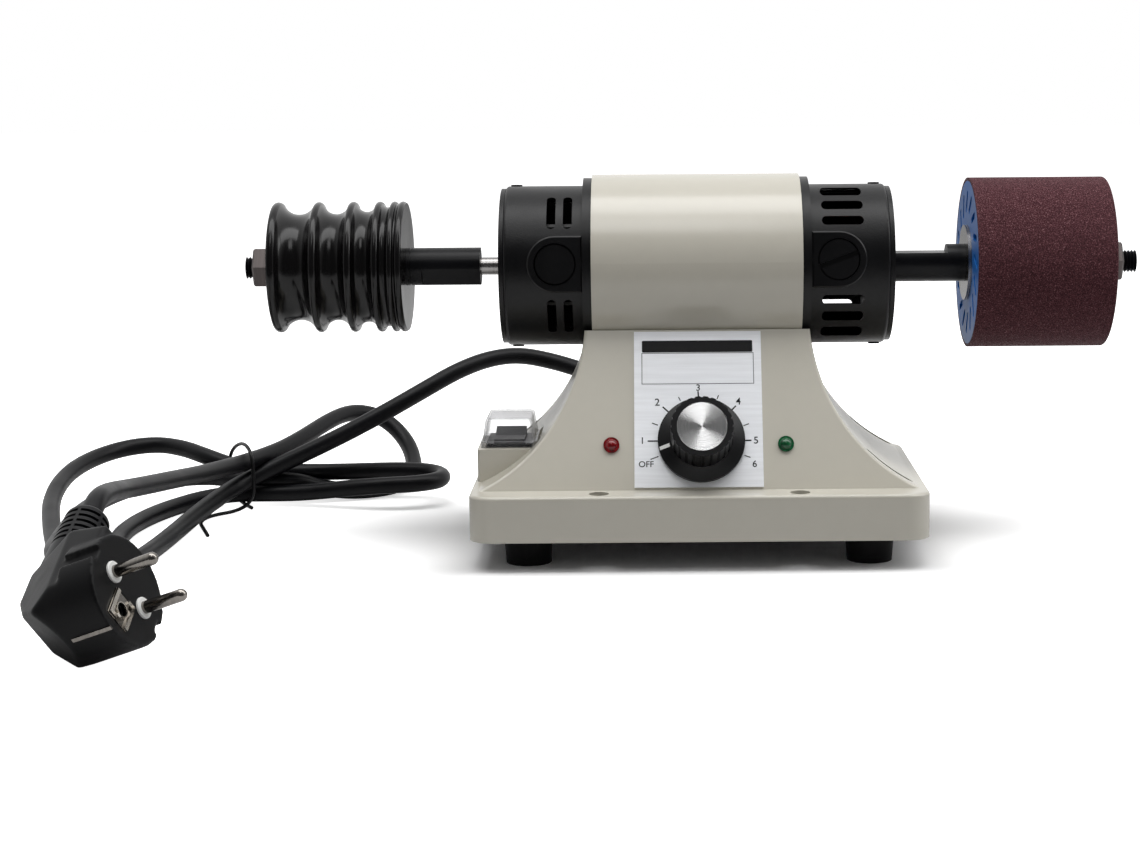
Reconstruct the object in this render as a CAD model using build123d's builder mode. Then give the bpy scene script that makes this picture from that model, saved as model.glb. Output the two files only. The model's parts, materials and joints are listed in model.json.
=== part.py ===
from build123d import *
import math
import os

# Bench burnishing and sanding machine, in millimetres.
# X runs along the spindle, the front is -Y, and Z is up from the bench that the feet stand on.

# Overall layout
spindle_rise = 26.0
axis_back = 15.0
spindle_left = 204.2
spindle_right = 200.0
motor_roll = 6.0

# Base housing
base_width = 198.6
base_depth = 130.0
base_corner = 10.0
foot_height = 13.3
slab_height = 20.0
slab_edge = 1.5
housing_wall = 3.0
ledge = 14.0
back_ledge = 2.6
neck_height = 65.7
neck_top_width = 100.0
neck_front = 33.0
neck_side_ledge = 3.6
neck_edge = 1.4
neck_root = 0.8
flare_radius = 78.0
saddle_wall = 6.0

# Bottom plate, its screws and the feet
plate_thickness = 2.0
plate_play = 0.3
plate_boss_radius = 5.0
plate_boss_inset_x = 12.0
plate_boss_inset_y = 10.0
plate_screw_radius = 1.75
plate_screw_length = 9.0
screw_head_radius = 3.3
foot_radius = 10.9
foot_top_radius = 9.9
foot_spacing_x = 149.5
foot_spacing_y = 82.0
foot_recess_radius = 5.0
foot_recess_depth = 6.0

# Bench bolt holes in the front ledge
bench_hole_radius = 4.3
bench_hole_spacing = 86.5
bench_hole_inset = 7.0
bench_boss_wall = 2.6
plate_hole_play = 0.6

# Side vents in the flares
vent_height = 7.2
vent_length = 25.0
vent_width = 5.0
front_vent_turn = 15.0
front_vent_inset = 9.0
rear_vent_inset = 6.5

# Switch box, rocker switch and its clear boot
box_inset = 1.7
box_front_y = -29.0
box_length = 38.0
box_height = 14.5
box_corner = 1.5
box_reach = 27.6
switch_inset_x = 13.7
bezel_width = 20.0
bezel_length = 27.0
bezel_height = 2.0
switch_body_width = 17.6
switch_body_length = 23.0
switch_body_depth = 15.0
switch_well_depth = 5.5
switch_play = 0.2
rocker_width = 13.6
rocker_length = 19.0
rocker_rise = 2.6
rocker_waist = 1.4
rocker_skirt = 1.2
rocker_tilt = 9.0
rocker_pin_radius = 1.5
rocker_pin_reach = 1.2
rocker_play = 0.05
rocker_end_play = 0.9
boot_skirt = 2.4
boot_wall = 0.8
boot_flange = 1.0
boot_step = 0.6
boot_corner = 3.0
boot_edge = 2.0
boot_height = 13.2
boot_taper = 9.0

# Front panel, knob, potentiometer and lamps
face_width = 56.0
face_thickness = 0.8
face_margin = 1.0
knob_x = 1.2
knob_height_up = 22.0
knob_skirt_radius = 19.0
knob_rim = 2.0
knob_skirt_rise = 3.0
knob_grip_radius = 13.5
knob_height = 21.0
knob_flutes = 24
knob_flute_radius = 0.9
knob_cap_radius = 11.0
knob_cap_depth = 1.0
knob_gap = 0.4
knob_hollow_radius = 7.7
pointer_width = 1.6
pointer_depth = 0.5
pointer_inset = 0.4
pointer_length = 4.4
pointer_angle = 193.0
pot_radius = 11.0
pot_depth = 10.0
pot_bush_radius = 3.5
pot_bush_height = 5.0
pot_nut_flats = 11.0
pot_nut_thickness = 2.0
pot_shaft_radius = 3.0
pot_shaft_tip = 13.8
shaft_play = 0.05
lamp_radius = 3.0
lamp_rim_radius = 3.5
lamp_rim = 1.0
lamp_body = 5.0
lamp_x = 38.0
lamp_height_up = 20.4

# Speed control board
board_width = 92.0
board_depth = 64.0
board_thickness = 1.6
board_lift = 8.0
standoff_radius = 3.0
standoff_inset = 5.0
sink_width = 46.0
sink_depth = 12.0
sink_height = 16.0
sink_fins = 5
sink_fin_gap = 4.0
sink_fin_depth = 8.0

# Motor barrel and end bells
barrel_radius = 41.0
barrel_wall = 2.0
barrel_length = 93.0
bell_flange_radius = 39.5
bell_flange = 4.0
bell_radius = 36.0
bell_wall = 2.6
bell_end = 85.5
bell_end_wall = 8.5
bell_edge = 1.6
spigot_length = 5.0
fit_play = 0.02
cover_thickness = 2.0
cover_radius = 35.0
cover_hole_radius = 5.0
bell_screw_radius = 1.6
bell_screw_head_radius = 2.6
bell_screw_head = 0.6
bell_screw_depth = 9.0
bell_screw_x = 81.0
ring_slot_width = 4.0
ring_slot_x = (57.0, 64.3)
ring_slot_angle = 41.0
ring_slot_length = 19.0
bar_slot_length = 18.5
bar_slot_width = 4.0
bar_slot_start = 3.0
bar_slot_x = 64.6
bar_slot_angles = (29.0, 43.0, 60.0)

# Brush gear
brush_x = 62.5
brush_turn = 2.0
boss_radius = 12.4
boss_face = 37.2
boss_bevel = 0.6
cap_radius = 9.3
cap_seat = 32.8
cap_face = 37.0
cap_bevel = 0.7
cap_slot_width = 2.2
cap_slot_depth = 1.4
cap_slot_turn = 20.0
blank_face = 36.4
holder_radius = 7.4
holder_inner = 15.0
brush_width = 6.0
brush_height = 9.0
brush_outer = 26.6
brush_play = 0.05
spring_radius = 2.5
spring_wire = 0.35
spring_turns = 4.0
tube_wall = 2.0

# Rotor and stator
core_left = -28.0
core_right = 24.0
rotor_radius = 20.0
air_gap = 0.6
rotor_slots = 12
rotor_slot_width = 2.4
rotor_slot_depth = 5.0
winding_outer = 17.0
winding_inner = 7.5
winding_overhang = 11.0
winding_play = 0.2
coil_outer = 36.0
coil_inner = 27.0
coil_half_angle = 48.0
coil_overhang = 8.0
coil_play = 0.3
shaft_core_radius = 6.0
shaft_core_half = 78.2
shaft_radius = 4.0
shaft_half = 113.5
commutator_radius = 12.0
commutator_length = 17.0
commutator_bars = 24
commutator_gap = 0.5
fan_x = 53.0
fan_radius = 31.0
fan_plate = 1.6
fan_depth = 14.0
fan_hub_radius = 10.0
fan_blades = 10
fan_blade = 1.6
saddle_bolt_x = 22.0
saddle_bolt_radius = 2.0
saddle_bolt_head_radius = 3.8
saddle_bolt_head = 3.0
saddle_bolt_grip = 5.0

# Bearings
bearing_outer = 11.0
bearing_ring = 2.0
bearing_width = 7.0
bearing_lip_radius = 6.8
ball_radius = 1.45
ball_count = 7

# Arbors
arbor_radius = 8.5
stud_radius = 5.0
thread_pitch = 1.5
thread_depth = 0.9
left_arbor_start = 97.7
right_arbor_start = 88.2
arbor_bore_play = 0.02
arbor_bore_end = 114.0
wheel_start = 131.0
drum_start = 122.0
arbor_groove = 0.6
arbor_groove_back = 1.2
left_flats = 14.0
left_flat_length = 26.5
left_flat_angle = -44.0
right_flat_reach = 5.0
right_collar = 8.0
right_flat_margin = 2.0
grub_radius = 2.0
grub_x = 105.0
grub_depth = 0.3

# Grooved wheel
wheel_length = 60.0
wheel_radius = 29.6
wheel_bore_play = 0.05
ridge_centres = (1.9, 20.3, 35.9, 48.0, 54.6, 58.4)
ridge_half_widths = (1.7, 1.5, 1.5, 1.4, 1.2, 1.4)
ridge_round = 0.7
groove_depths = (5.6, 5.5, 4.6, 2.6, 1.4)

# Sanding drum
drum_length = 63.0
drum_radius = 38.4
abrasive_thickness = 1.4
sleeve_edge = 1.1
hub_inset = 1.2
hub_play = 0.05
disc_radius = 17.0
disc_thickness = 1.6
hub_slots = 16
hub_slot_circle = 27.5
hub_slot_length = 11.0
hub_slot_width = 3.0
hub_slot_turn = 30.0

# Washers and nuts on the studs
washer_radius = 10.0
washer_thickness = 1.7
nut_flats = 17.0
nut_height = 7.9
nut_chamfer = 0.8

# Cord, gland and plug
cord_radius = 4.2
lead_straight = 18.0
gland_x = -20.0
gland_up = 13.0
gland_flange_radius = 9.6
gland_flange = 2.5
gland_neck_radius = 7.0
gland_root_radius = 8.0
gland_tip_radius = 5.6
gland_length = 30.0
gland_lock = 3.0
plug_face = Vector(-209.8, -209.4, 29.1)
pin_axis = Vector(0.903, -0.249, 0.350)
pin_line = Vector(0.426, 0.408, -0.808)
plug_radius = 21.4
plug_head = 19.5
plug_rim = 15.0
plug_brow = 18.0
plug_knee = -9.0
plug_knee_back = 37.0
plug_back = 46.0
plug_shoulder = 22.5
plug_elbow = 5.0
plug_collar_width = 19.0
plug_back_width = 6.6
plug_round = 2.0
guide_width = 5.4
guide_depth = 2.4
guide_length = 26.0
pin_radius = 2.4
pin_length = 19.0
pin_spacing = 19.0
pin_root = 8.0
pin_collar_radius = 3.4
pin_collar = 0.8
earth_offset = 10.5
earth_hole_radius = 2.5
earth_hole_depth = 12.0
earth_plate_width = 11.4
earth_plate_length = 12.4
earth_plate_depth = 1.0
boot_back = 35.0
boot_root_radius = 10.2
boot_tip_radius = 8.6
boot_length = 34.0
boot_dome = 3.4
boot_ribs = 4
boot_rib_gap = 1.6
boot_rib_depth = 1.2
boot_web = 6.0
boot_straight = 19.0

# Lead from the gland to the hank and from the hank to the plug, chosen by eye along the cord
lead_bends = [
    (-44.0, 136.0, 58.0),
    (-72.0, 139.0, 67.0),
    (-101.0, 128.0, 70.0),
    (-126.0, 112.0, 60.0),
    (-154.0, 100.0, 44.0),
    (-180.0, 92.0, 31.0),
    (-203.0, 86.0, 20.0),
]
lead_end = (-222.0, 80.0, 14.0)
plug_lead_start = (-220.0, 78.0, 24.0)
plug_lead_bends = [
    (-229.0, 52.0, 24.5),
    (-237.0, 18.0, 27.0),
    (-243.0, -20.0, 31.5),
    (-246.0, -60.0, 37.5),
    (-243.5, -96.0, 42.5),
]

# Loops of the tied hank, in the order in which the cord takes them
hank_loops = [
    [
        (-222.0, 80.0, 14.0),
        (-232.0, 54.0, 8.6),
        (-239.0, 10.0, 5.0),
        (-243.0, -44.0, 4.4),
        (-249.0, -82.0, 4.4),
        (-268.0, -86.0, 4.4),
        (-278.0, -52.0, 4.4),
        (-295.0, -12.0, 6.0),
        (-311.0, 45.0, 13.0),
        (-306.0, 97.0, 21.0),
        (-276.0, 124.0, 25.0),
        (-246.0, 107.0, 21.0),
        (-220.0, 98.0, 16.0),
    ],
    [
        (-222.0, 98.0, 15.0),
        (-191.0, 100.0, 14.2),
        (-150.0, 105.0, 14.0),
        (-124.0, 101.0, 13.2),
        (-124.0, 78.0, 12.8),
        (-150.0, 74.0, 12.0),
        (-183.0, 83.0, 8.0),
        (-222.0, 91.0, 4.4),
    ],
    [
        (-220.0, 91.0, 4.4),
        (-243.0, 81.0, 4.4),
        (-259.0, 49.0, 4.4),
        (-266.0, 12.0, 4.4),
        (-261.0, -22.0, 5.0),
        (-258.0, -54.0, 8.0),
        (-268.0, -74.0, 12.0),
        (-280.0, -58.0, 13.6),
        (-284.0, -6.0, 13.8),
        (-281.0, 56.0, 12.6),
        (-267.0, 98.0, 11.6),
        (-246.0, 106.0, 12.0),
        (-220.0, 90.0, 13.0),
    ],
    [
        (-220.0, 90.0, 12.0),
        (-190.0, 92.0, 5.0),
        (-160.0, 103.0, 4.4),
        (-144.0, 120.0, 5.6),
        (-144.0, 144.0, 13.0),
        (-155.0, 163.0, 26.0),
        (-172.0, 167.0, 34.0),
        (-189.0, 141.0, 34.6),
        (-206.0, 104.0, 27.0),
        (-220.0, 78.0, 24.0),
    ],
]
hank_waist_width = 31.0
hank_waist_height = 30.0
hank_waist_length = 22.0
hank_waist_round = 6.0
hank_waist = (-222.0, 90.0)
tie_wire = 1.4
tie_shift = 8.0

# Values worked out from the sizes above
slab_top = foot_height + slab_height
neck_top = slab_top + neck_height
axis_height = neck_top + spindle_rise
neck_foot_width = base_width - 2 * neck_side_ledge
box_left = base_width / 2 - box_inset
plate_top = foot_height + plate_thickness
inner_width = base_width - 2 * housing_wall
inner_depth = base_depth - 2 * housing_wall
standing = (Align.CENTER, Align.CENTER, Align.MIN)
cavity_top = axis_height - barrel_radius - saddle_wall
panel_foot_y = -(base_depth / 2 - ledge)
panel_run = axis_back - neck_front - panel_foot_y
panel_length = math.hypot(neck_height, panel_run)
panel_plane = Plane(origin=(0, panel_foot_y, slab_top), x_dir=(1, 0, 0), z_dir=(0, -neck_height, panel_run))
rear_y = base_depth / 2 - back_ledge
rear_plane = Plane(origin=(0, rear_y, slab_top), x_dir=(-1, 0, 0), z_dir=(0, 1, 0))
bench_hole_y = bench_hole_inset - base_depth / 2
box_top = slab_top + box_height
switch_x = -box_left + switch_inset_x
switch_y = box_front_y + box_length / 2
barrel_half = barrel_length / 2
bell_start = barrel_half + bell_flange
barrel_bore = barrel_radius - barrel_wall
bearing_start = bell_end - bearing_width
spindle_axis = Axis((0, axis_back, axis_height), (1, 0, 0))
brush_turns = (brush_turn, brush_turn + 180)
plug_turns = (0, 180)
wheel_end = wheel_start + wheel_length
wheel_nut_start = wheel_end + washer_thickness
drum_end = drum_start + drum_length
hub_start = drum_start + disc_thickness
hub_end = drum_end - hub_inset
drum_nut_start = hub_end + washer_thickness
boss_x = base_width / 2 - plate_boss_inset_x
boss_y = base_depth / 2 - plate_boss_inset_y
board_bottom = plate_top + board_lift
board_top = board_bottom + board_thickness
plug_plane = Plane(origin=plug_face, x_dir=pin_line, z_dir=pin_axis)
flare_foot = Vector(neck_foot_width / 2, slab_top)
flare_top = Vector(neck_top_width / 2, neck_top)
flare_chord = flare_top - flare_foot
flare_reach = math.sqrt(flare_radius**2 - (flare_chord.length / 2) ** 2)
flare_side = Vector(flare_chord.Y, -flare_chord.X).normalized()
flare_centre = (flare_foot + flare_top) * 0.5 + flare_side * flare_reach


def flare_x(z, inset=0.0):
    """Half width of the flared column at a height, drawn in by the inset."""
    return flare_centre.X - math.sqrt((flare_radius + inset) ** 2 - (flare_centre.Y - z) ** 2)


def panel_y(z, inset=0.0):
    """Front of the column at a height, drawn in by the inset."""
    return panel_foot_y + (z - slab_top) * panel_run / neck_height + inset * panel_length / neck_height


def neck_block(inset, bottom, top, edge):
    """Flared column with a sloping front and an upright back, between two heights."""
    middle = (bottom + top) / 2
    with BuildPart() as block:
        with BuildSketch(Plane.XZ):
            with BuildLine():
                low = flare_x(bottom, inset)
                mid = flare_x(middle, inset)
                high = flare_x(top, inset)
                Line((-low, bottom), (low, bottom))
                ThreePointArc((low, bottom), (mid, middle), (high, top))
                Line((high, top), (-high, top))
                ThreePointArc((-high, top), (-mid, middle), (-low, bottom))
            make_face()
        extrude(amount=base_depth / 2, both=True)
        with BuildSketch(Plane.YZ):
            with BuildLine():
                low_y = panel_y(bottom, inset)
                high_y = panel_y(top, inset)
                back_y = rear_y - inset
                Polyline((low_y, bottom), (high_y, top), (back_y, top), (back_y, bottom), close=True)
            make_face()
        extrude(amount=base_width, both=True, mode=Mode.INTERSECT)
        if edge > 0:
            fillet(block.edges().filter_by(GeomType.LINE, reverse=True), edge)
    return block.part


def along(plane, x, y):
    """The same plane with its origin moved to a place on it."""
    return Plane(origin=plane.from_local_coords((x, y, 0)), x_dir=plane.x_dir, z_dir=plane.z_dir)


def station(x):
    """Plane across the spindle at a place along it, with its x direction at the front brush."""
    roll = math.radians(motor_roll)
    return Plane(origin=(x, axis_back, axis_height), x_dir=(0, -math.cos(roll), math.sin(roll)), z_dir=(1, 0, 0))


def disc(start, end, radius, mode=Mode.ADD):
    """Round slice about the spindle between two places along it."""
    with BuildSketch(station(start)) as slice_face:
        Circle(radius)
    extrude(slice_face.sketch, amount=end - start, mode=mode)


def ring(start, end, outer, inner):
    """Tube about the spindle between two places along it."""
    disc(start, end, outer)
    disc(start, end, inner, mode=Mode.SUBTRACT)


def radial(x, angle, distance):
    """Plane facing away from the spindle, at an angle up from the front brush."""
    turn = math.radians(angle + motor_roll)
    outward = Vector(0, -math.cos(turn), math.sin(turn))
    origin = Vector(x, axis_back, axis_height) + outward * distance
    return Plane(origin=origin, x_dir=(1, 0, 0), z_dir=outward)


def stem(plane, length, radius, mode=Mode.ADD):
    """Round stem standing on a plane."""
    with BuildSketch(plane) as stem_face:
        Circle(radius)
    extrude(stem_face.sketch, amount=length, mode=mode)


def bevelled_stem(plane, length, radius, bevel):
    """Round stem standing on a plane, with a bevelled far edge."""
    stem(plane, length - bevel, radius)
    with BuildSketch(plane.offset(length - bevel)) as bevel_face:
        Circle(radius)
    extrude(bevel_face.sketch, amount=bevel, taper=45)


def block(plane, length, width, depth, mode=Mode.ADD):
    """Rectangular bar standing on a plane."""
    with BuildSketch(plane) as block_face:
        Rectangle(width, depth)
    extrude(block_face.sketch, amount=length, mode=mode)


def cut_slot(plane, length, run, width):
    """Round-ended slot cut along a plane's normal, running along its x direction."""
    with BuildSketch(plane) as slot_face:
        SlotOverall(run, width)
    extrude(slot_face.sketch, amount=length, mode=Mode.SUBTRACT)


def turned(plane, angle):
    """The same plane turned about its own normal."""
    turn = math.radians(angle)
    direction = plane.x_dir * math.cos(turn) + plane.y_dir * math.sin(turn)
    return Plane(origin=plane.origin, x_dir=direction, z_dir=plane.z_dir)


def vent_plane(side, y, vent_turn):
    """Plane lying on a flare, with its x direction along the vent."""
    z = slab_top + vent_height
    x = flare_x(z)
    outward = Vector(side * (flare_centre.X - x), 0, flare_centre.Y - z).normalized()
    down = Vector(side * outward.Z, 0, -abs(outward.X))
    turn = math.radians(vent_turn)
    slope = down * math.cos(turn) - Vector(0, 1, 0) * math.sin(turn)
    return Plane(origin=(side * x, y, z), x_dir=slope, z_dir=outward)


def corner_radii(points):
    """Largest tidy bend at each inner point of a route."""
    radii = []
    for before, here, after in zip(points, points[1:], points[2:]):
        arriving = Vector(*here) - Vector(*before)
        leaving = Vector(*after) - Vector(*here)
        half_turn = math.radians(arriving.get_angle(leaving)) / 2
        radii.append(0.45 * min(arriving.length, leaving.length) / math.tan(half_turn))
    return radii


def cord_tube(points):
    """Cord along straight runs and tangent arcs."""
    radii = corner_radii(points)
    with BuildPart() as tube:
        with BuildLine() as route:
            FilletPolyline(*points, radius=radii)
        with BuildSketch(Plane(origin=route.line @ 0, z_dir=route.line % 0)):
            Circle(cord_radius)
        sweep()
    return tube


gland_plane = along(rear_plane, -gland_x, gland_up)
knob_plane = along(panel_plane, knob_x, knob_height_up)
knob_seat = knob_plane.offset(face_thickness + knob_gap)
pot_middle = housing_wall + pot_depth / 2

# Base housing: one hollow casting of slab, flared column and switch box, open underneath
with BuildPart() as base_housing:
    with BuildSketch(Plane.XY.offset(foot_height)):
        RectangleRounded(base_width, base_depth, base_corner)
    extrude(amount=slab_height)
    fillet(base_housing.faces().sort_by(Axis.Z)[-1].edges(), slab_edge)
    add(neck_block(0, slab_top - neck_root, neck_top, neck_edge))
    with BuildSketch(Plane.XY.offset(slab_top - slab_edge)):
        with Locations((-box_left + box_reach / 2, switch_y)):
            RectangleRounded(box_reach, box_length, box_corner)
    extrude(amount=box_height + slab_edge)
    with BuildSketch(Plane.XY.offset(box_top)):
        with Locations((-box_left + box_reach / 2, switch_y)):
            Rectangle(box_reach, box_length)
    extrude(amount=neck_height - box_height, mode=Mode.SUBTRACT)
    with BuildSketch(Plane.XY.offset(foot_height)):
        RectangleRounded(inner_width, inner_depth, base_corner - housing_wall)
    extrude(amount=slab_height - housing_wall, mode=Mode.SUBTRACT)
    add(neck_block(housing_wall, slab_top - housing_wall, cavity_top, 0), mode=Mode.SUBTRACT)
    with BuildSketch(Plane.XY.offset(foot_height)):
        with Locations((-box_left + housing_wall + box_reach / 2, switch_y)):
            Rectangle(box_reach, box_length - 2 * housing_wall)
    extrude(amount=box_top - housing_wall - foot_height, mode=Mode.SUBTRACT)
    with BuildSketch(Plane.XY.offset(box_top)):
        with Locations((switch_x, switch_y)):
            Rectangle(switch_body_width + 2 * switch_play, switch_body_length + 2 * switch_play)
    extrude(amount=-2 * housing_wall, mode=Mode.SUBTRACT)
    with BuildSketch(Plane.YZ):
        with Locations((axis_back, axis_height)):
            Circle(barrel_radius)
    extrude(amount=base_width, both=True, mode=Mode.SUBTRACT)
    with BuildSketch(Plane.XY.offset(plate_top)):
        with GridLocations(2 * boss_x, 2 * boss_y, 2, 2):
            Circle(plate_boss_radius)
        with Locations((-bench_hole_spacing / 2, bench_hole_y), (bench_hole_spacing / 2, bench_hole_y)):
            Circle(bench_hole_radius + bench_boss_wall)
    extrude(amount=slab_height - plate_thickness - housing_wall / 2)
    with BuildSketch(Plane.XY.offset(plate_top)):
        with GridLocations(2 * boss_x, 2 * boss_y, 2, 2):
            Circle(plate_screw_radius)
    extrude(amount=plate_screw_length, mode=Mode.SUBTRACT)
    with BuildSketch(Plane.XY.offset(foot_height)):
        with Locations((-bench_hole_spacing / 2, bench_hole_y), (bench_hole_spacing / 2, bench_hole_y)):
            Circle(bench_hole_radius)
    extrude(amount=2 * slab_height, mode=Mode.SUBTRACT)
    with BuildSketch(panel_plane):
        with Locations((knob_x, knob_height_up)):
            Circle(pot_bush_radius + shaft_play)
        with GridLocations(2 * lamp_x, 0, 2, 1):
            with Locations((0, lamp_height_up)):
                Circle(lamp_radius + shaft_play)
    extrude(amount=2 * housing_wall, both=True, mode=Mode.SUBTRACT)
    with BuildSketch(gland_plane):
        Circle(gland_neck_radius + fit_play)
    extrude(amount=2 * housing_wall, both=True, mode=Mode.SUBTRACT)
    front_vent_y = panel_y(slab_top + vent_height) + front_vent_inset
    rear_vent_y = rear_y - rear_vent_inset
    for side, y, vent_turn in ((1, front_vent_y, front_vent_turn), (1, rear_vent_y, 0), (-1, rear_vent_y, 0)):
        cut_slot(vent_plane(side, y, vent_turn).offset(-2 * housing_wall), 4 * housing_wall, vent_length, vent_width)
    with BuildSketch(Plane.XY.offset(cavity_top)):
        with Locations((-saddle_bolt_x, axis_back), (saddle_bolt_x, axis_back)):
            Circle(saddle_bolt_radius + fit_play)
    extrude(amount=2 * saddle_wall, mode=Mode.SUBTRACT)

# Bottom plate with holes for its screws, the feet and the bench bolts
with BuildPart() as bottom_plate:
    with BuildSketch(Plane.XY.offset(foot_height)):
        plate_width = inner_width - 2 * plate_play
        plate_depth = inner_depth - 2 * plate_play
        RectangleRounded(plate_width, plate_depth, base_corner - housing_wall)
        with GridLocations(2 * boss_x, 2 * boss_y, 2, 2):
            Circle(plate_screw_radius + plate_play, mode=Mode.SUBTRACT)
        with GridLocations(foot_spacing_x, foot_spacing_y, 2, 2):
            Circle(plate_screw_radius + plate_play, mode=Mode.SUBTRACT)
        with Locations((-bench_hole_spacing / 2, bench_hole_y), (bench_hole_spacing / 2, bench_hole_y)):
            Circle(bench_hole_radius + plate_hole_play, mode=Mode.SUBTRACT)
    extrude(amount=plate_thickness)

# Screws that hold the bottom plate
with BuildPart() as plate_screws:
    with GridLocations(2 * boss_x, 2 * boss_y, 2, 2):
        with Locations((0, 0, foot_height - plate_screw_radius)):
            Cylinder(screw_head_radius, plate_screw_radius, align=standing)
        with Locations((0, 0, foot_height)):
            Cylinder(plate_screw_radius - fit_play, plate_screw_length, align=standing)

# Rubber feet, each with a recess for its screw
with BuildPart() as rubber_feet:
    with GridLocations(foot_spacing_x, foot_spacing_y, 2, 2):
        Cone(foot_top_radius, foot_radius, foot_height, align=standing)
        Cylinder(foot_recess_radius, foot_recess_depth, align=standing, mode=Mode.SUBTRACT)
        Cylinder(plate_screw_radius, foot_height, align=standing, mode=Mode.SUBTRACT)

# Screws that hold the feet, with their ends above the plate
with BuildPart() as foot_screws:
    with GridLocations(foot_spacing_x, foot_spacing_y, 2, 2):
        with Locations((0, 0, foot_recess_depth - plate_screw_radius)):
            Cylinder(screw_head_radius, plate_screw_radius, align=standing)
        with Locations((0, 0, foot_recess_depth)):
            screw_reach = plate_top + plate_screw_radius - foot_recess_depth
            Cylinder(plate_screw_radius - fit_play, screw_reach, align=standing)

# Face plate on the sloping front
with BuildPart() as face_plate:
    with BuildSketch(panel_plane):
        with Locations((0, panel_length / 2)):
            Rectangle(face_width, panel_length - 2 * face_margin)
        with Locations((knob_x, knob_height_up)):
            Circle(pot_bush_radius + shaft_play, mode=Mode.SUBTRACT)
    extrude(amount=face_thickness)

# Potentiometer behind the panel, with its threaded bush through it
with BuildPart() as pot_body:
    stem(knob_plane.offset(-housing_wall), -pot_depth, pot_radius)
    stem(knob_plane.offset(-housing_wall), housing_wall + pot_bush_height, pot_bush_radius)
    bush_top = knob_plane.offset(pot_bush_height)
    stem(bush_top, -pot_bush_height - pot_middle, pot_shaft_radius + shaft_play, Mode.SUBTRACT)

with BuildPart() as pot_nut:
    with BuildSketch(knob_plane.offset(face_thickness)):
        RegularPolygon(pot_nut_flats / 2, 6, major_radius=False)
        Circle(pot_bush_radius + fit_play, mode=Mode.SUBTRACT)
    extrude(amount=pot_nut_thickness)

with BuildPart() as pot_shaft:
    stem(knob_plane.offset(shaft_play - pot_middle), pot_middle + pot_shaft_tip, pot_shaft_radius)


def pointer_bar():
    """Side view of the pointer, lying in the slope of the knob's skirt."""
    heading = turned(knob_seat, pointer_angle)
    side_plane = Plane(origin=knob_seat.origin, x_dir=heading.x_dir, z_dir=heading.x_dir.cross(knob_seat.z_dir))
    steepness = knob_skirt_rise / (knob_skirt_radius - knob_grip_radius)
    outer = knob_skirt_radius - pointer_inset
    inner = outer - pointer_length
    outer_top = knob_rim + (knob_skirt_radius - outer) * steepness
    inner_top = knob_rim + (knob_skirt_radius - inner) * steepness
    with BuildSketch(side_plane) as bar:
        with BuildLine():
            low_outer = outer_top - pointer_depth
            low_inner = inner_top - pointer_depth
            Polyline((outer, low_outer), (outer, outer_top), (inner, inner_top), (inner, low_inner), close=True)
        make_face()
    return bar.sketch


# Knob: wide skirt, fluted grip, recess for the cap, and a hollow that clears the nut
with BuildPart() as speed_knob:
    stem(knob_seat, knob_rim, knob_skirt_radius)
    with BuildSketch(knob_seat.offset(knob_rim)):
        Circle(knob_skirt_radius)
    with BuildSketch(knob_seat.offset(knob_rim + knob_skirt_rise)):
        Circle(knob_grip_radius)
    loft()
    stem(knob_seat, knob_height, knob_grip_radius)
    with BuildSketch(knob_seat.offset(knob_rim + knob_skirt_rise)):
        with PolarLocations(knob_grip_radius + knob_flute_radius / 2, knob_flutes):
            Circle(knob_flute_radius)
    extrude(amount=knob_height, mode=Mode.SUBTRACT)
    stem(knob_seat.offset(knob_height), -knob_cap_depth, knob_cap_radius + fit_play, Mode.SUBTRACT)
    stem(knob_seat, pot_bush_height, knob_hollow_radius, Mode.SUBTRACT)
    stem(knob_plane, pot_shaft_tip + 2 * shaft_play, pot_shaft_radius + fit_play, Mode.SUBTRACT)
    extrude(pointer_bar(), amount=pointer_width / 2, both=True, mode=Mode.SUBTRACT)

with BuildPart() as knob_cap:
    stem(knob_seat.offset(knob_height - knob_cap_depth), knob_cap_depth, knob_cap_radius)

with BuildPart() as knob_pointer:
    extrude(pointer_bar(), amount=pointer_width / 2, both=True)

# Indicator lamps: a domed lens with a rim outside the panel and a body through it
lamps = {}
for lamp_name, side in (("red_lamp", -1), ("green_lamp", 1)):
    lamp_plane = along(panel_plane, side * lamp_x, lamp_height_up)
    with BuildPart() as lamp:
        stem(lamp_plane, -lamp_body, lamp_radius)
        stem(lamp_plane, lamp_rim, lamp_rim_radius)
        with Locations(lamp_plane.offset(lamp_rim)):
            Sphere(lamp_radius, arc_size1=0)
    lamps[lamp_name] = lamp

# Rocker switch
switch_plane = Plane(origin=(switch_x, switch_y, box_top), x_dir=(1, 0, 0), z_dir=(0, 0, 1))
with BuildPart() as switch_body:
    block(switch_plane, bezel_height, bezel_width, bezel_length)
    block(switch_plane, -switch_body_depth, switch_body_width, switch_body_length)
    well_width = rocker_width + 2 * switch_play
    well_length = rocker_length + 2 * rocker_end_play
    block(switch_plane.offset(bezel_height), -switch_well_depth, well_width, well_length, Mode.SUBTRACT)
    with BuildSketch(Plane.YZ.offset(switch_x)):
        with Locations((switch_y, box_top)):
            Circle(rocker_pin_radius + rocker_play)
    extrude(amount=rocker_width / 2 + rocker_pin_reach + rocker_play, both=True, mode=Mode.SUBTRACT)

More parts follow.
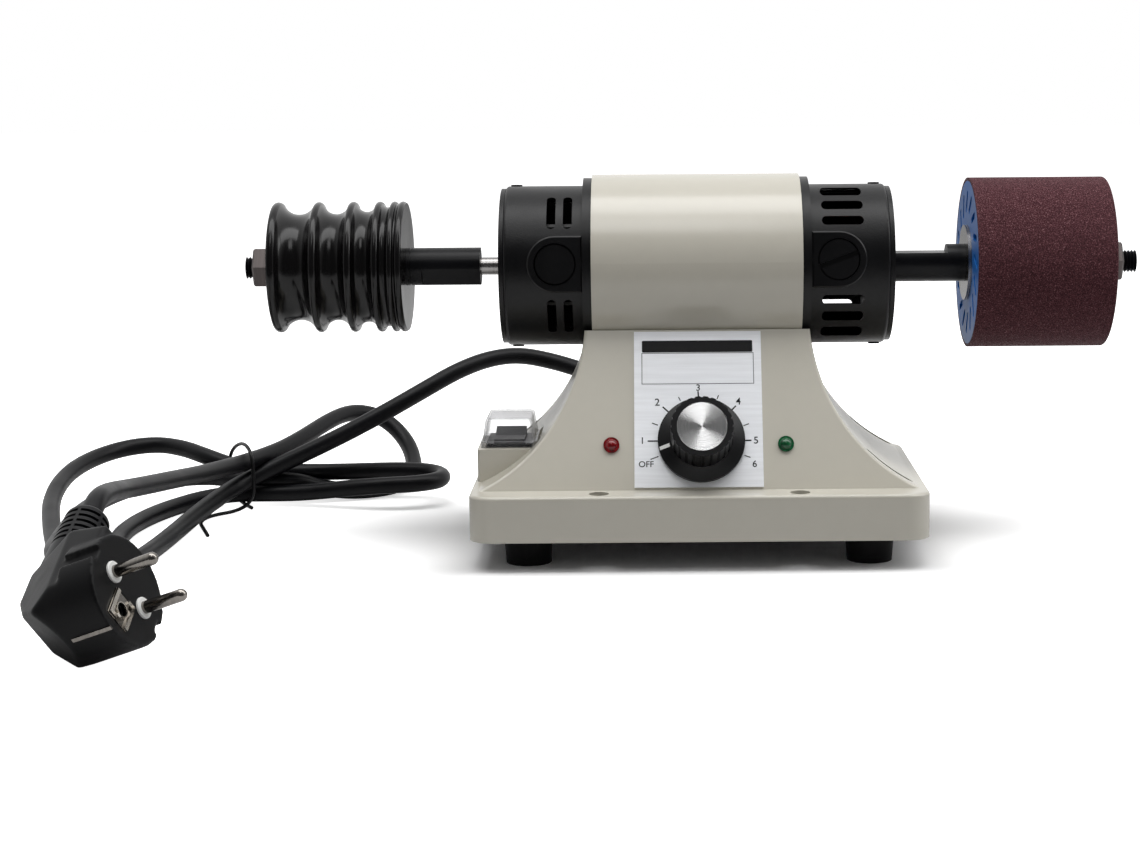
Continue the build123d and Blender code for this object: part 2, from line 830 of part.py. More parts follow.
with BuildPart() as switch_rocker:
    tilt = math.radians(rocker_tilt)
    rocker_side = (switch_x - rocker_width / 2, switch_y, box_top)
    with BuildSketch(Plane(origin=rocker_side, x_dir=(0, math.cos(tilt), math.sin(tilt)), z_dir=(1, 0, 0))):
        with BuildLine():
            half = rocker_length / 2
            low = -rocker_skirt
            high = bezel_height + rocker_rise
            waist = bezel_height + rocker_waist
            Polyline((-half, low), (half, low), (half, high), (0, waist), (-half, high), close=True)
        make_face()
    extrude(amount=rocker_width)
    with BuildSketch(Plane.YZ.offset(switch_x)):
        with Locations((switch_y, box_top)):
            Circle(rocker_pin_radius)
    extrude(amount=rocker_width / 2 + rocker_pin_reach, both=True)



def switch_dome(start, inset, top):
    """Tapered dome over the switch, round at its corners and top edge."""
    with BuildPart() as dome:
        with BuildSketch(switch_plane.offset(start)):
            dome_width = bezel_width + 2 * (boot_skirt - boot_step - inset)
            dome_run = bezel_length + 2 * (boot_skirt - boot_step - inset)
            RectangleRounded(dome_width, dome_run, boot_corner - inset)
        extrude(amount=top - start, taper=boot_taper)
        fillet(dome.edges().group_by(Axis.Z)[-1], boot_edge - inset)
    return dome.part


with BuildPart() as switch_boot:
    with BuildSketch(switch_plane):
        RectangleRounded(bezel_width + 2 * boot_skirt, bezel_length + 2 * boot_skirt, boot_corner)
    extrude(amount=bezel_height + boot_flange)
    add(switch_dome(bezel_height + boot_flange, 0, boot_height))
    block(switch_plane, bezel_height, bezel_width, bezel_length, Mode.SUBTRACT)
    add(switch_dome(bezel_height, boot_wall, boot_height - boot_wall), mode=Mode.SUBTRACT)

# Speed control board on its standoffs, and the main pieces on it
with BuildPart() as board_standoffs:
    with BuildSketch(Plane.XY.offset(plate_top)):
        with GridLocations(board_width - 2 * standoff_inset, board_depth - 2 * standoff_inset, 2, 2):
            Circle(standoff_radius)
    extrude(amount=board_lift)

with BuildPart() as control_board:
    with BuildSketch(Plane.XY.offset(board_bottom)):
        Rectangle(board_width, board_depth)
    extrude(amount=board_thickness)

with BuildPart() as heat_sink:
    with BuildSketch(Plane.XY.offset(board_top)):
        with Locations((0, board_depth / 2 - sink_depth)):
            Rectangle(sink_width, sink_depth)
            with Locations((0, sink_depth / 2)):
                with GridLocations(sink_width / sink_fins, 0, sink_fins, 1):
                    Rectangle(sink_fin_gap, 2 * sink_fin_depth, mode=Mode.SUBTRACT)
    extrude(amount=sink_height)

# Motor barrel
with BuildPart() as motor_barrel:
    ring(-barrel_half, barrel_half, barrel_radius, barrel_bore)
    with BuildSketch(Plane.XY.offset(axis_height - barrel_radius)):
        with Locations((-saddle_bolt_x, axis_back), (saddle_bolt_x, axis_back)):
            Circle(saddle_bolt_radius + fit_play)
    extrude(amount=2 * barrel_wall, mode=Mode.SUBTRACT)


def brush_boss(side, turn):
    """Boss for a brush cap, bevelled round its face."""
    boss_reach = brush_x - bell_start
    with BuildPart() as boss:
        with BuildSketch(radial(side * brush_x, turn, 0)):
            Circle(boss_radius)
            with Locations((-side * boss_reach / 2, 0)):
                Rectangle(boss_reach, 2 * boss_radius)
        extrude(amount=boss_face)
        outer_face = boss.faces().sort_by_distance(radial(side * brush_x, turn, boss_face).origin)[0]
        chamfer(outer_face.edges(), boss_bevel)
    return boss.part


def end_bell(side, ring_slots, turns):
    """Plastic end bell with flange, spigot, bearing seat, brush bosses and vents."""
    with BuildPart() as bell:
        disc(side * bell_start, side * bell_end, bell_radius)
        fillet(bell.edges().group_by(Axis.X)[-1 if side > 0 else 0], bell_edge)
        disc(side * barrel_half, side * bell_start, bell_flange_radius)
        disc(side * (barrel_half - spigot_length), side * barrel_half, barrel_bore - fit_play)
        for turn in turns:
            add(brush_boss(side, turn))
        spigot_end = side * (barrel_half - spigot_length)
        disc(spigot_end, side * (bell_end - bell_end_wall), bell_radius - bell_wall, Mode.SUBTRACT)
        if not ring_slots:
            for turn in turns:
                sleeve = radial(side * brush_x, turn, holder_inner)
                stem(sleeve, bell_radius - holder_inner, holder_radius + tube_wall)
        disc(spigot_end, side * bell_end, bearing_lip_radius, Mode.SUBTRACT)
        disc(side * bearing_start, side * bell_end, bearing_outer + fit_play, Mode.SUBTRACT)
        for turn in turns:
            stem(radial(side * brush_x, turn, cap_seat), boss_face, cap_radius + fit_play, Mode.SUBTRACT)
            if not ring_slots:
                stem(radial(side * brush_x, turn, 0), cap_seat, holder_radius + fit_play, Mode.SUBTRACT)
            if ring_slots:
                for x in ring_slot_x:
                    for angle in (ring_slot_angle, -ring_slot_angle):
                        vent = turned(radial(side * x, turn + angle, bell_radius / 2), 90)
                        cut_slot(vent, bell_radius, ring_slot_length, ring_slot_width)
            else:
                for angle in bar_slot_angles:
                    rise = bell_radius * math.sin(math.radians(angle))
                    level = radial(side * bar_slot_x, turn, bar_slot_start)
                    for way in (1, -1):
                        place = level.origin + level.y_dir * way * rise
                        vent = Plane(origin=place, x_dir=level.x_dir, z_dir=level.z_dir)
                        cut_slot(vent, bell_radius, bar_slot_length, bar_slot_width)
        for turn in (90, -90):
            screw_hole = radial(side * bell_screw_x, turn, bell_radius - bell_screw_depth)
            stem(screw_hole, boss_face, bell_screw_radius + fit_play, Mode.SUBTRACT)
    return bell


left_bell = end_bell(-1, True, plug_turns)
right_bell = end_bell(1, False, brush_turns)

# Thin end covers that close the bearing seats
with BuildPart() as end_covers:
    for side in (-1, 1):
        disc(side * bell_end, side * (bell_end + cover_thickness), cover_radius)
        disc(side * bell_end, side * (bell_end + cover_thickness), cover_hole_radius, Mode.SUBTRACT)

# Screws at the top and bottom of both bells
with BuildPart() as bell_screws:
    for side in (-1, 1):
        for turn in (90, -90):
            screw_seat = radial(side * bell_screw_x, turn, bell_radius)
            stem(screw_seat, -bell_screw_depth, bell_screw_radius)
            stem(screw_seat, bell_screw_head, bell_screw_head_radius)

# Brush gear in the right bell, and plain plugs in the left one
with BuildPart() as brush_holders:
    for turn in brush_turns:
        stem(radial(brush_x, turn, holder_inner), cap_seat - holder_inner, holder_radius)
        hole_width = brush_width + 2 * brush_play
        hole_height = brush_height + 2 * brush_play
        block(radial(brush_x, turn, 0), bell_radius, hole_width, hole_height, Mode.SUBTRACT)

with BuildPart() as carbon_brushes:
    for turn in brush_turns:
        block(radial(brush_x, turn, 0), brush_outer, brush_width, brush_height)
    disc(brush_x - brush_height, brush_x + brush_height, commutator_radius + brush_play, Mode.SUBTRACT)


def brush_spring(turn):
    """Coil spring between a brush and its cap."""
    spring_length = cap_seat - brush_outer - 2 * spring_wire - 2 * fit_play
    with BuildPart() as spring:
        base = radial(brush_x, turn, brush_outer + spring_wire + fit_play)
        with BuildLine() as coil:
            pitch = spring_length / spring_turns
            Helix(pitch, spring_length, spring_radius, center=base.origin, direction=base.z_dir)
        with BuildSketch(Plane(origin=coil.line @ 0, z_dir=coil.line % 0)):
            Circle(spring_wire)
        sweep()
    return spring.part


with BuildPart() as brush_springs:
    for turn in brush_turns:
        add(brush_spring(turn))

with BuildPart() as brush_caps:
    for turn in brush_turns:
        bevelled_stem(radial(brush_x, turn, cap_seat), cap_face - cap_seat, cap_radius, cap_bevel)
        slot_plane = turned(radial(brush_x, turn, cap_face), cap_slot_turn)
        block(slot_plane, -cap_slot_depth, 2 * cap_radius, cap_slot_width, Mode.SUBTRACT)

with BuildPart() as blank_plugs:
    for turn in plug_turns:
        bevelled_stem(radial(-brush_x, turn, cap_seat), blank_face - cap_seat, cap_radius, cap_bevel)

# Stator
with BuildPart() as stator_core:
    ring(core_left, core_right, barrel_bore - fit_play, rotor_radius + air_gap)
    with BuildSketch(station(core_left)):
        for middle in (90, 270):
            start = middle - coil_half_angle
            with BuildLine():
                inner_arc = CenterArc((0, 0), coil_inner - coil_play, start, 2 * coil_half_angle)
                outer_arc = CenterArc((0, 0), coil_outer + coil_play, start, 2 * coil_half_angle)
                Line(inner_arc @ 0, outer_arc @ 0)
                Line(inner_arc @ 1, outer_arc @ 1)
            make_face()
    extrude(amount=core_right - core_left, mode=Mode.SUBTRACT)
    with BuildSketch(Plane.XY.offset(axis_height - barrel_radius)):
        with Locations((-saddle_bolt_x, axis_back), (saddle_bolt_x, axis_back)):
            Circle(saddle_bolt_radius + fit_play)
    extrude(amount=barrel_wall + saddle_bolt_grip, mode=Mode.SUBTRACT)

with BuildPart() as field_coils:
    with BuildSketch(station(core_left - coil_overhang)):
        for middle in (90, 270):
            start = middle - coil_half_angle + math.degrees(coil_play / coil_inner)
            sweep_angle = 2 * (middle - start)
            with BuildLine():
                inner_arc = CenterArc((0, 0), coil_inner, start, sweep_angle)
                outer_arc = CenterArc((0, 0), coil_outer, start, sweep_angle)
                Line(inner_arc @ 0, outer_arc @ 0)
                Line(inner_arc @ 1, outer_arc @ 1)
            make_face()
    extrude(amount=core_right - core_left + 2 * coil_overhang)
    with BuildSketch(Plane.XY.offset(axis_height - barrel_radius)):
        with Locations((-saddle_bolt_x, axis_back), (saddle_bolt_x, axis_back)):
            Circle(saddle_bolt_radius + coil_play)
    extrude(amount=barrel_wall + saddle_bolt_grip + coil_play, mode=Mode.SUBTRACT)

with BuildPart() as saddle_bolts:
    with Locations((-saddle_bolt_x, axis_back), (saddle_bolt_x, axis_back)):
        with Locations((0, 0, cavity_top - saddle_bolt_head)):
            Cylinder(saddle_bolt_head_radius, saddle_bolt_head, align=standing)
        with Locations((0, 0, cavity_top)):
            bolt_reach = saddle_wall + barrel_wall + saddle_bolt_grip - fit_play
            Cylinder(saddle_bolt_radius, bolt_reach, align=standing)

# Rotor
with BuildPart() as motor_shaft:
    disc(-shaft_core_half, shaft_core_half, shaft_core_radius)
    disc(-shaft_half, shaft_half, shaft_radius)

with BuildPart() as armature_core:
    ring(core_left, core_right, rotor_radius, shaft_core_radius + fit_play)
    with BuildSketch(station(core_left)):
        with PolarLocations(rotor_radius - rotor_slot_depth / 2, rotor_slots):
            Rectangle(rotor_slot_depth + 2 * fit_play, rotor_slot_width)
    extrude(amount=core_right - core_left, mode=Mode.SUBTRACT)

with BuildPart() as armature_windings:
    ring(core_right + winding_play, core_right + winding_overhang, winding_outer, winding_inner)
    ring(core_left - winding_overhang, core_left - winding_play, winding_outer, winding_inner)

with BuildPart() as commutator:
    bar_start = brush_x - commutator_length / 2
    ring(bar_start, bar_start + commutator_length, commutator_radius, shaft_core_radius + fit_play)
    with BuildSketch(station(bar_start)):
        with PolarLocations(commutator_radius, commutator_bars):
            Rectangle(2 * commutator_gap, commutator_gap)
    extrude(amount=commutator_length, mode=Mode.SUBTRACT)

with BuildPart() as cooling_fan:
    disc(-fan_x, -fan_x - fan_depth, fan_hub_radius)
    disc(-fan_x, -fan_x - fan_plate, fan_radius)
    with BuildSketch(station(-fan_x)):
        with PolarLocations((fan_radius + fan_hub_radius) / 2 - fan_blade, fan_blades):
            Rectangle(fan_radius - fan_hub_radius, fan_blade)
    extrude(amount=-fan_depth)
    disc(-fan_x, -fan_x - fan_depth, shaft_core_radius + fit_play, Mode.SUBTRACT)

# Ball bearings, one in each bell
with BuildPart() as bearing_outer_rings:
    for side in (-1, 1):
        disc(side * bearing_start, side * bell_end, bearing_outer)
        disc(side * bearing_start, side * bell_end, bearing_outer - bearing_ring, Mode.SUBTRACT)

with BuildPart() as bearing_inner_rings:
    for side in (-1, 1):
        disc(side * bearing_start, side * bell_end, shaft_radius + bearing_ring)
        disc(side * bearing_start, side * bell_end, shaft_radius + fit_play, Mode.SUBTRACT)

with BuildPart() as bearing_balls:
    for side in (-1, 1):
        ball_circle = (shaft_radius + bearing_outer) / 2
        with Locations(station(side * (bearing_start + bearing_width / 2))):
            with PolarLocations(ball_circle, ball_count):
                Sphere(ball_radius)


def stud_end(side, start, thread_start, end):
    """Stud from an arbor's shoulder to the end of the spindle, with thread grooves beyond the nut."""
    disc(side * start, side * end, stud_radius)
    turns = math.floor((end - thread_start) / thread_pitch)
    with BuildSketch(Plane(origin=(0, axis_back, axis_height), x_dir=(side, 0, 0), z_dir=(0, -side, 0))) as grooves:
        for i in range(turns):
            tip = end - i * thread_pitch
            with BuildLine():
                top = stud_radius + fit_play
                root = top - thread_depth
                Polyline((tip, top), (tip - thread_pitch / 2, root), (tip - thread_pitch, top), close=True)
            make_face()
    revolve(grooves.sketch, axis=spindle_axis, mode=Mode.SUBTRACT)


# Arbors: a bored shank on the motor shaft, wrench flats, a grub screw hole and the threaded stud
with BuildPart() as left_arbor:
    disc(-left_arbor_start, -wheel_start, arbor_radius)
    groove_x = wheel_start - arbor_groove_back
    with BuildSketch(station(-groove_x)) as groove_face:
        Circle(arbor_radius)
        Circle(arbor_radius - arbor_groove, mode=Mode.SUBTRACT)
    extrude(groove_face.sketch, amount=arbor_groove, mode=Mode.SUBTRACT)
    for turn in (left_flat_angle, left_flat_angle + 180):
        flat_x = left_arbor_start + left_flat_length / 2
        flat = radial(-flat_x, turn, left_flats / 2)
        block(flat, arbor_radius, left_flat_length, 3 * arbor_radius, Mode.SUBTRACT)
    stud_end(-1, wheel_start, wheel_nut_start + nut_height, spindle_left)
    disc(-left_arbor_start, -arbor_bore_end, shaft_radius + arbor_bore_play, Mode.SUBTRACT)
    stem(radial(-grub_x, left_flat_angle + 180, 0), arbor_radius, grub_radius + fit_play, Mode.SUBTRACT)

with BuildPart() as right_arbor:
    disc(right_arbor_start, drum_start, arbor_radius)
    flat_length = drum_start - right_collar - right_arbor_start - right_flat_margin
    flat_x = right_arbor_start + right_flat_margin + flat_length / 2
    flat = radial(flat_x, 90 - motor_roll, right_flat_reach)
    block(flat, arbor_radius, flat_length, 3 * arbor_radius, Mode.SUBTRACT)
    stud_end(1, drum_start, drum_nut_start + nut_height, spindle_right)
    disc(right_arbor_start, arbor_bore_end, shaft_radius + arbor_bore_play, Mode.SUBTRACT)
    stem(radial(grub_x, -90 - motor_roll, 0), arbor_radius, grub_radius + fit_play, Mode.SUBTRACT)

with BuildPart() as grub_screws:
    left_seat = radial(-grub_x, left_flat_angle + 180, shaft_radius + fit_play)
    right_seat = radial(grub_x, -90 - motor_roll, shaft_radius + fit_play)
    stem(left_seat, left_flats / 2 - shaft_radius - grub_depth, grub_radius)
    stem(right_seat, arbor_radius - shaft_radius - grub_depth, grub_radius)

# Burnishing wheel: rounded ridges with round-bottomed grooves between them
with BuildPart() as burnishing_wheel:
    with BuildSketch(Plane(origin=(-wheel_end, axis_back, axis_height), x_dir=(1, 0, 0), z_dir=(0, -1, 0))):
        with BuildLine():
            shoulder = wheel_radius - ridge_round
            bore = stud_radius + wheel_bore_play
            first = ridge_centres[0] - ridge_half_widths[0]
            Polyline((first, shoulder), (0, shoulder - ridge_round), (0, bore))
            Polyline((0, bore), (wheel_length, bore), (wheel_length, shoulder))
            for centre, half in zip(ridge_centres, ridge_half_widths):
                ThreePointArc((centre - half, shoulder), (centre, wheel_radius), (centre + half, shoulder))
            for i, depth in enumerate(groove_depths):
                left_edge = ridge_centres[i] + ridge_half_widths[i]
                right_edge = ridge_centres[i + 1] - ridge_half_widths[i + 1]
                middle = (left_edge + right_edge) / 2
                ThreePointArc((left_edge, shoulder), (middle, wheel_radius - depth), (right_edge, shoulder))
            last = ridge_centres[-1] + ridge_half_widths[-1]
            Line((last, shoulder), (wheel_length, shoulder))
        make_face()
    revolve(axis=spindle_axis)

# Sanding drum: abrasive sleeve on a slotted hub between a steel disc and a washer
with BuildPart() as drum_hub:
    ring(hub_start, hub_end, drum_radius - abrasive_thickness - hub_play, stud_radius + wheel_bore_play)
    with BuildSketch(station(hub_start)):
        with PolarLocations(hub_slot_circle, hub_slots):
            SlotOverall(hub_slot_length, hub_slot_width, rotation=hub_slot_turn)
    extrude(amount=hub_end - hub_start, mode=Mode.SUBTRACT)

with BuildPart() as abrasive_sleeve:
    ring(hub_start, drum_end, drum_radius, drum_radius - abrasive_thickness)
    fillet(abrasive_sleeve.edges().group_by(Axis.X)[-1].sort_by(SortBy.RADIUS)[-1], sleeve_edge)

with BuildPart() as drum_disc:
    ring(drum_start, hub_start, disc_radius, stud_radius + wheel_bore_play)

# Washer and nut at both ends of the spindle
with BuildPart() as spindle_washers:
    ring(-wheel_end, -wheel_nut_start, washer_radius, stud_radius + wheel_bore_play)
    ring(hub_end, drum_nut_start, washer_radius, stud_radius + wheel_bore_play)


def spindle_nut(side, start):
    """Hexagon nut on a stud, bevelled on its outer side."""
    with BuildPart() as nut:
        with BuildSketch(station(side * start)):
            RegularPolygon(nut_flats / 2, 6, major_radius=False)
        extrude(amount=side * nut_height)
        chamfer(nut.edges().group_by(Axis.X)[-1 if side > 0 else 0], nut_chamfer)
        disc(side * start, side * (start + nut_height), stud_radius + fit_play, Mode.SUBTRACT)
    return nut.part


with BuildPart() as spindle_nuts:
    add(spindle_nut(-1, wheel_nut_start))
    add(spindle_nut(1, drum_nut_start))

# Gland: flange and tapered strain relief outside, lock collar inside
with BuildPart() as cord_gland:
    stem(gland_plane, gland_flange, gland_flange_radius)
    with BuildSketch(gland_plane.offset(gland_flange)):
        Circle(gland_root_radius)
    with BuildSketch(gland_plane.offset(gland_length)):
        Circle(gland_tip_radius)
    loft()
    stem(gland_plane, -housing_wall, gland_neck_radius)
    stem(gland_plane.offset(-housing_wall), -gland_lock, gland_flange_radius)
    stem(gland_plane.offset(-housing_wall - gland_lock), 2 * gland_length, cord_radius, Mode.SUBTRACT)

# Cord from inside the gland to the hank
lead_start = gland_plane.from_local_coords((0, 0, 0))
lead_exit = gland_plane.from_local_coords((0, 0, gland_length + lead_straight))
lead_points = [tuple(lead_start), tuple(lead_exit)] + lead_bends + [lead_end]
power_lead = cord_tube(lead_points)

# Plug: round head, wedge-shaped back and a shoulder where the cord comes out sideways
side_plane = Plane(origin=plug_face, x_dir=pin_axis, z_dir=plug_plane.x_dir * -1)
width_plane = Plane(origin=plug_face, x_dir=pin_axis, z_dir=plug_plane.y_dir)
with BuildPart() as plug_body:
    with BuildSketch(side_plane):
        with BuildLine():
            Polyline(
                (-plug_round, -plug_radius),
                (-plug_head, -plug_radius),
                (-plug_knee_back, plug_knee),
                (-plug_back, plug_elbow),
                (-plug_back, plug_shoulder),
                (plug_round - plug_head, plug_shoulder),
                (-plug_round, plug_brow),
                close=True,
            )
        make_face()
    extrude(amount=plug_radius, both=True)
    with BuildSketch(width_plane):
        with BuildLine():
            head_edge = (0, plug_collar_width)
            collar_edge = (-plug_head, plug_collar_width)
            back_edge = (-plug_back, plug_back_width)
            Polyline(
                head_edge,
                collar_edge,
                back_edge,
                (back_edge[0], -back_edge[1]),
                (collar_edge[0], -collar_edge[1]),
                (head_edge[0], -head_edge[1]),
                close=True,
            )
        make_face()
    extrude(amount=2 * plug_back, both=True, mode=Mode.INTERSECT)
    fillet(plug_body.edges(), plug_round)
    with BuildSketch(plug_plane):
        Circle(plug_radius)
        with Locations((0, plug_shoulder / 2)):
            Rectangle(2 * plug_collar_width, plug_shoulder)
    extrude(amount=-plug_back, mode=Mode.INTERSECT)
    stem(plug_plane, -plug_rim, plug_radius)
    with BuildSketch(plug_plane):
        with GridLocations(pin_spacing, 0, 2, 1):
            Circle(pin_radius + fit_play)
    extrude(amount=-pin_root, mode=Mode.SUBTRACT)
    with BuildSketch(plug_plane):
        with Locations((0, -earth_offset)):
            Rectangle(earth_plate_width, earth_plate_length)
    extrude(amount=-earth_plate_depth, mode=Mode.SUBTRACT)
    with BuildSketch(plug_plane):
        with Locations((0, -earth_offset)):
            Circle(earth_hole_radius)
    extrude(amount=-earth_hole_depth, mode=Mode.SUBTRACT)
    with BuildSketch(plug_plane):
        with GridLocations(2 * plug_radius, 0, 2, 1):
            Rectangle(2 * guide_depth, guide_width)
    extrude(amount=-guide_length, mode=Mode.SUBTRACT)

with BuildPart() as plug_pins:
    with BuildSketch(plug_plane.offset(-pin_root)):
        with GridLocations(pin_spacing, 0, 2, 1):
            Circle(pin_radius)
    extrude(amount=pin_root + pin_length - pin_radius)
    with BuildSketch(plug_plane):
        with GridLocations(pin_spacing, 0, 2, 1):
            Circle(pin_collar_radius)
    extrude(amount=pin_collar)
    for side in (-1, 1):
        tip = plug_plane.from_local_coords((side * pin_spacing / 2, 0, pin_length - pin_radius))
        with Locations(tip):
            Sphere(pin_radius)

with BuildPart() as earth_plate:
    with BuildSketch(plug_plane.offset(-earth_plate_depth)):
        with Locations((0, -earth_offset)):
            Rectangle(earth_plate_width - 2 * fit_play, earth_plate_length - 2 * fit_play)
            Circle(earth_hole_radius, mode=Mode.SUBTRACT)
    extrude(amount=earth_plate_depth)

# Ribbed strain relief on the plug's shoulder
boot_root = plug_plane.from_local_coords((0, plug_shoulder, -boot_back))
boot_plane = Plane(origin=boot_root, x_dir=pin_line, z_dir=plug_plane.y_dir)
with BuildPart() as plug_boot:
    with BuildSketch(boot_plane):
        Circle(boot_root_radius)
    with BuildSketch(boot_plane.offset(boot_length)):
        Circle(boot_tip_radius)
    loft()
    fillet(plug_boot.edges().sort_by(Axis(boot_plane.origin, boot_plane.z_dir))[-1], boot_dome)
    for i in range(boot_ribs):
        rib_plane = boot_plane.offset((i + 1) * boot_length / (boot_ribs + 1))
        with BuildSketch(rib_plane) as rib_gap_face:
            Circle(2 * boot_root_radius)
            Circle(boot_tip_radius - boot_rib_depth, mode=Mode.SUBTRACT)
            Rectangle(4 * boot_root_radius, boot_web, mode=Mode.SUBTRACT)
            Rectangle(boot_web, 4 * boot_root_radius, mode=Mode.SUBTRACT)
        extrude(amount=boot_rib_gap, mode=Mode.SUBTRACT)
    stem(boot_plane, boot_length, cord_radius + fit_play, Mode.SUBTRACT)

# Cord from the hank to the plug
plug_lead_exit = boot_plane.from_local_coords((0, 0, boot_length + boot_straight))
plug_lead_end = boot_plane.from_local_coords((0, 0, 0))
plug_lead_points = [plug_lead_start] + plug_lead_bends + [tuple(plug_lead_exit), tuple(plug_lead_end)]
plug_lead = cord_tube(plug_lead_points)

# Hank of cord: its loops, and a waist where they are tied
waist_height = hank_waist_height / 2 + tie_wire
waist_plane = Plane(origin=(*hank_waist, waist_height), x_dir=(0, 1, 0), z_dir=(1, 0, 0))
with BuildPart() as cord_hank:
    with BuildSketch(waist_plane):
        RectangleRounded(hank_waist_width, hank_waist_height, hank_waist_round)
    extrude(amount=hank_waist_length / 2, both=True)
    for loop in hank_loops:
        add(cord_tube(loop).part)
    add(power_lead.part, mode=Mode.SUBTRACT)
    add(plug_lead.part, mode=Mode.SUBTRACT)

# Wire tie round the waist of the hank
with BuildPart() as cord_tie:
    with BuildSketch(waist_plane.offset(tie_shift)):
        RectangleRounded(hank_waist_width + 2 * tie_wire, hank_waist_height + 2 * tie_wire, hank_waist_round)
        RectangleRounded(hank_waist_width, hank_waist_height, hank_waist_round, mode=Mode.SUBTRACT)
    extrude(amount=tie_wire, both=True)
    add(power_lead.part, mode=Mode.SUBTRACT)
    add(plug_lead.part, mode=Mode.SUBTRACT)
    add(cord_hank.part, mode=Mode.SUBTRACT)

# Write one file for each piece
pieces = {
    "base_housing": base_housing,
    "bottom_plate": bottom_plate,
    "plate_screws": plate_screws,
    "rubber_feet": rubber_feet,
    "foot_screws": foot_screws,
    "face_plate": face_plate,
    "pot_body": pot_body,
    "pot_nut": pot_nut,
    "pot_shaft": pot_shaft,
    "speed_knob": speed_knob,
    "knob_cap": knob_cap,
    "knob_pointer": knob_pointer,
    **lamps,
    "switch_body": switch_body,
    "switch_rocker": switch_rocker,
    "switch_boot": switch_boot,
    "board_standoffs": board_standoffs,
    "control_board": control_board,
    "heat_sink": heat_sink,
    "motor_barrel": motor_barrel,
    "left_bell": left_bell,
    "right_bell": right_bell,
    "end_covers": end_covers,
    "bell_screws": bell_screws,
    "brush_holders": brush_holders,
    "carbon_brushes": carbon_brushes,
    "brush_springs": brush_springs,
    "brush_caps": brush_caps,
    "blank_plugs": blank_plugs,
    "stator_core": stator_core,
    "field_coils": field_coils,
    "saddle_bolts": saddle_bolts,
    "motor_shaft": motor_shaft,
    "armature_core": armature_core,
    "armature_windings": armature_windings,
    "commutator": commutator,
    "cooling_fan": cooling_fan,
    "bearing_outer_rings": bearing_outer_rings,
    "bearing_inner_rings": bearing_inner_rings,
    "bearing_balls": bearing_balls,
    "left_arbor": left_arbor,
    "right_arbor": right_arbor,
    "grub_screws": grub_screws,
    "burnishing_wheel": burnishing_wheel,
    "drum_hub": drum_hub,
    "abrasive_sleeve": abrasive_sleeve,
    "drum_disc": drum_disc,
    "spindle_washers": spindle_washers,
    "spindle_nuts": spindle_nuts,
    "cord_gland": cord_gland,
    "power_lead": power_lead,
    "plug_lead": plug_lead,
    "plug_body": plug_body,
    "plug_pins": plug_pins,
    "earth_plate": earth_plate,
    "plug_boot": plug_boot,
    "cord_hank": cord_hank,
    "cord_tie": cord_tie,
}
os.makedirs("parts", exist_ok=True)
for name, piece in pieces.items():
    piece.part.label = name
    export_step(piece.part, f"parts/{name}.step")
print(len(pieces), "pieces")
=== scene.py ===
"""Looks of the bench burnishing machine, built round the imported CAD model."""

import json
import math

import bmesh
import bpy
from mathutils import Matrix, Vector


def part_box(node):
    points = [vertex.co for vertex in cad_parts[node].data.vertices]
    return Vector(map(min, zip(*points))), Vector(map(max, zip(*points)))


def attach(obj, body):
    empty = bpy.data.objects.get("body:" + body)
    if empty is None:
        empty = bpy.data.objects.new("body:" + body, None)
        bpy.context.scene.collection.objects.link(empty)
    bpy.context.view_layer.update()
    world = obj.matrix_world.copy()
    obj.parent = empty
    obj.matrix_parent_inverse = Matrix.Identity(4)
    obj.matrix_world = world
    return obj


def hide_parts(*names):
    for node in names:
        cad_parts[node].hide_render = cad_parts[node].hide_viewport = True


MM = 0.001

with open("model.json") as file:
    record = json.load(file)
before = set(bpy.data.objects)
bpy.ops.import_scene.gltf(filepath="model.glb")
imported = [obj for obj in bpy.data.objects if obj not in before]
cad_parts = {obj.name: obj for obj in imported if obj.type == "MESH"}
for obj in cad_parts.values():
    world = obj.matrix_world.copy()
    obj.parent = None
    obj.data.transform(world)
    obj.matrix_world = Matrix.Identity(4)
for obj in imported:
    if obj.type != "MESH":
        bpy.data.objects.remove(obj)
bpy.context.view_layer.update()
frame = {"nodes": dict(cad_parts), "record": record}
nodes = frame["nodes"]

scene = bpy.context.scene
scene.view_settings.view_transform = "Standard"

# Camera: place and lens in millimetres, angles in degrees, shift as a share of the frame
camera_place = Vector((-16.75, -986.0, 217.3))
camera_pitch = 9.5
camera_roll = 0.45
camera_lens = 69.5
camera_sensor = 36.0
camera_shift = -0.079

# Control panel plane, in millimetres
panel_origin = Vector((0.0, -51.0, 33.3))
panel_right = Vector((1.0, 0.0, 0.0))
panel_up = Vector((0.0, 0.448845, 0.89361))
panel_out = Vector((0.0, -0.89361, 0.448845))
plate_thickness = 0.8
print_thickness = 0.05
knob_right = 1.2
knob_up = 22.0
knob_top = 22.2
cap_radius = 11.0
cap_depth = 1.0

# Plug face, in millimetres
plug_face = Vector((-209.8, -209.4, 29.1))
pin_axis = Vector((0.903, -0.249, 0.350)).normalized()
pin_line_guide = Vector((0.426, 0.408, -0.808))
plug_radius = 21.4
pin_radius = 2.4
pin_spacing = 19.0
earth_offset = 10.5

# Cord and its tie, in millimetres
cord_radius = 4.2
tie_radius = 0.9

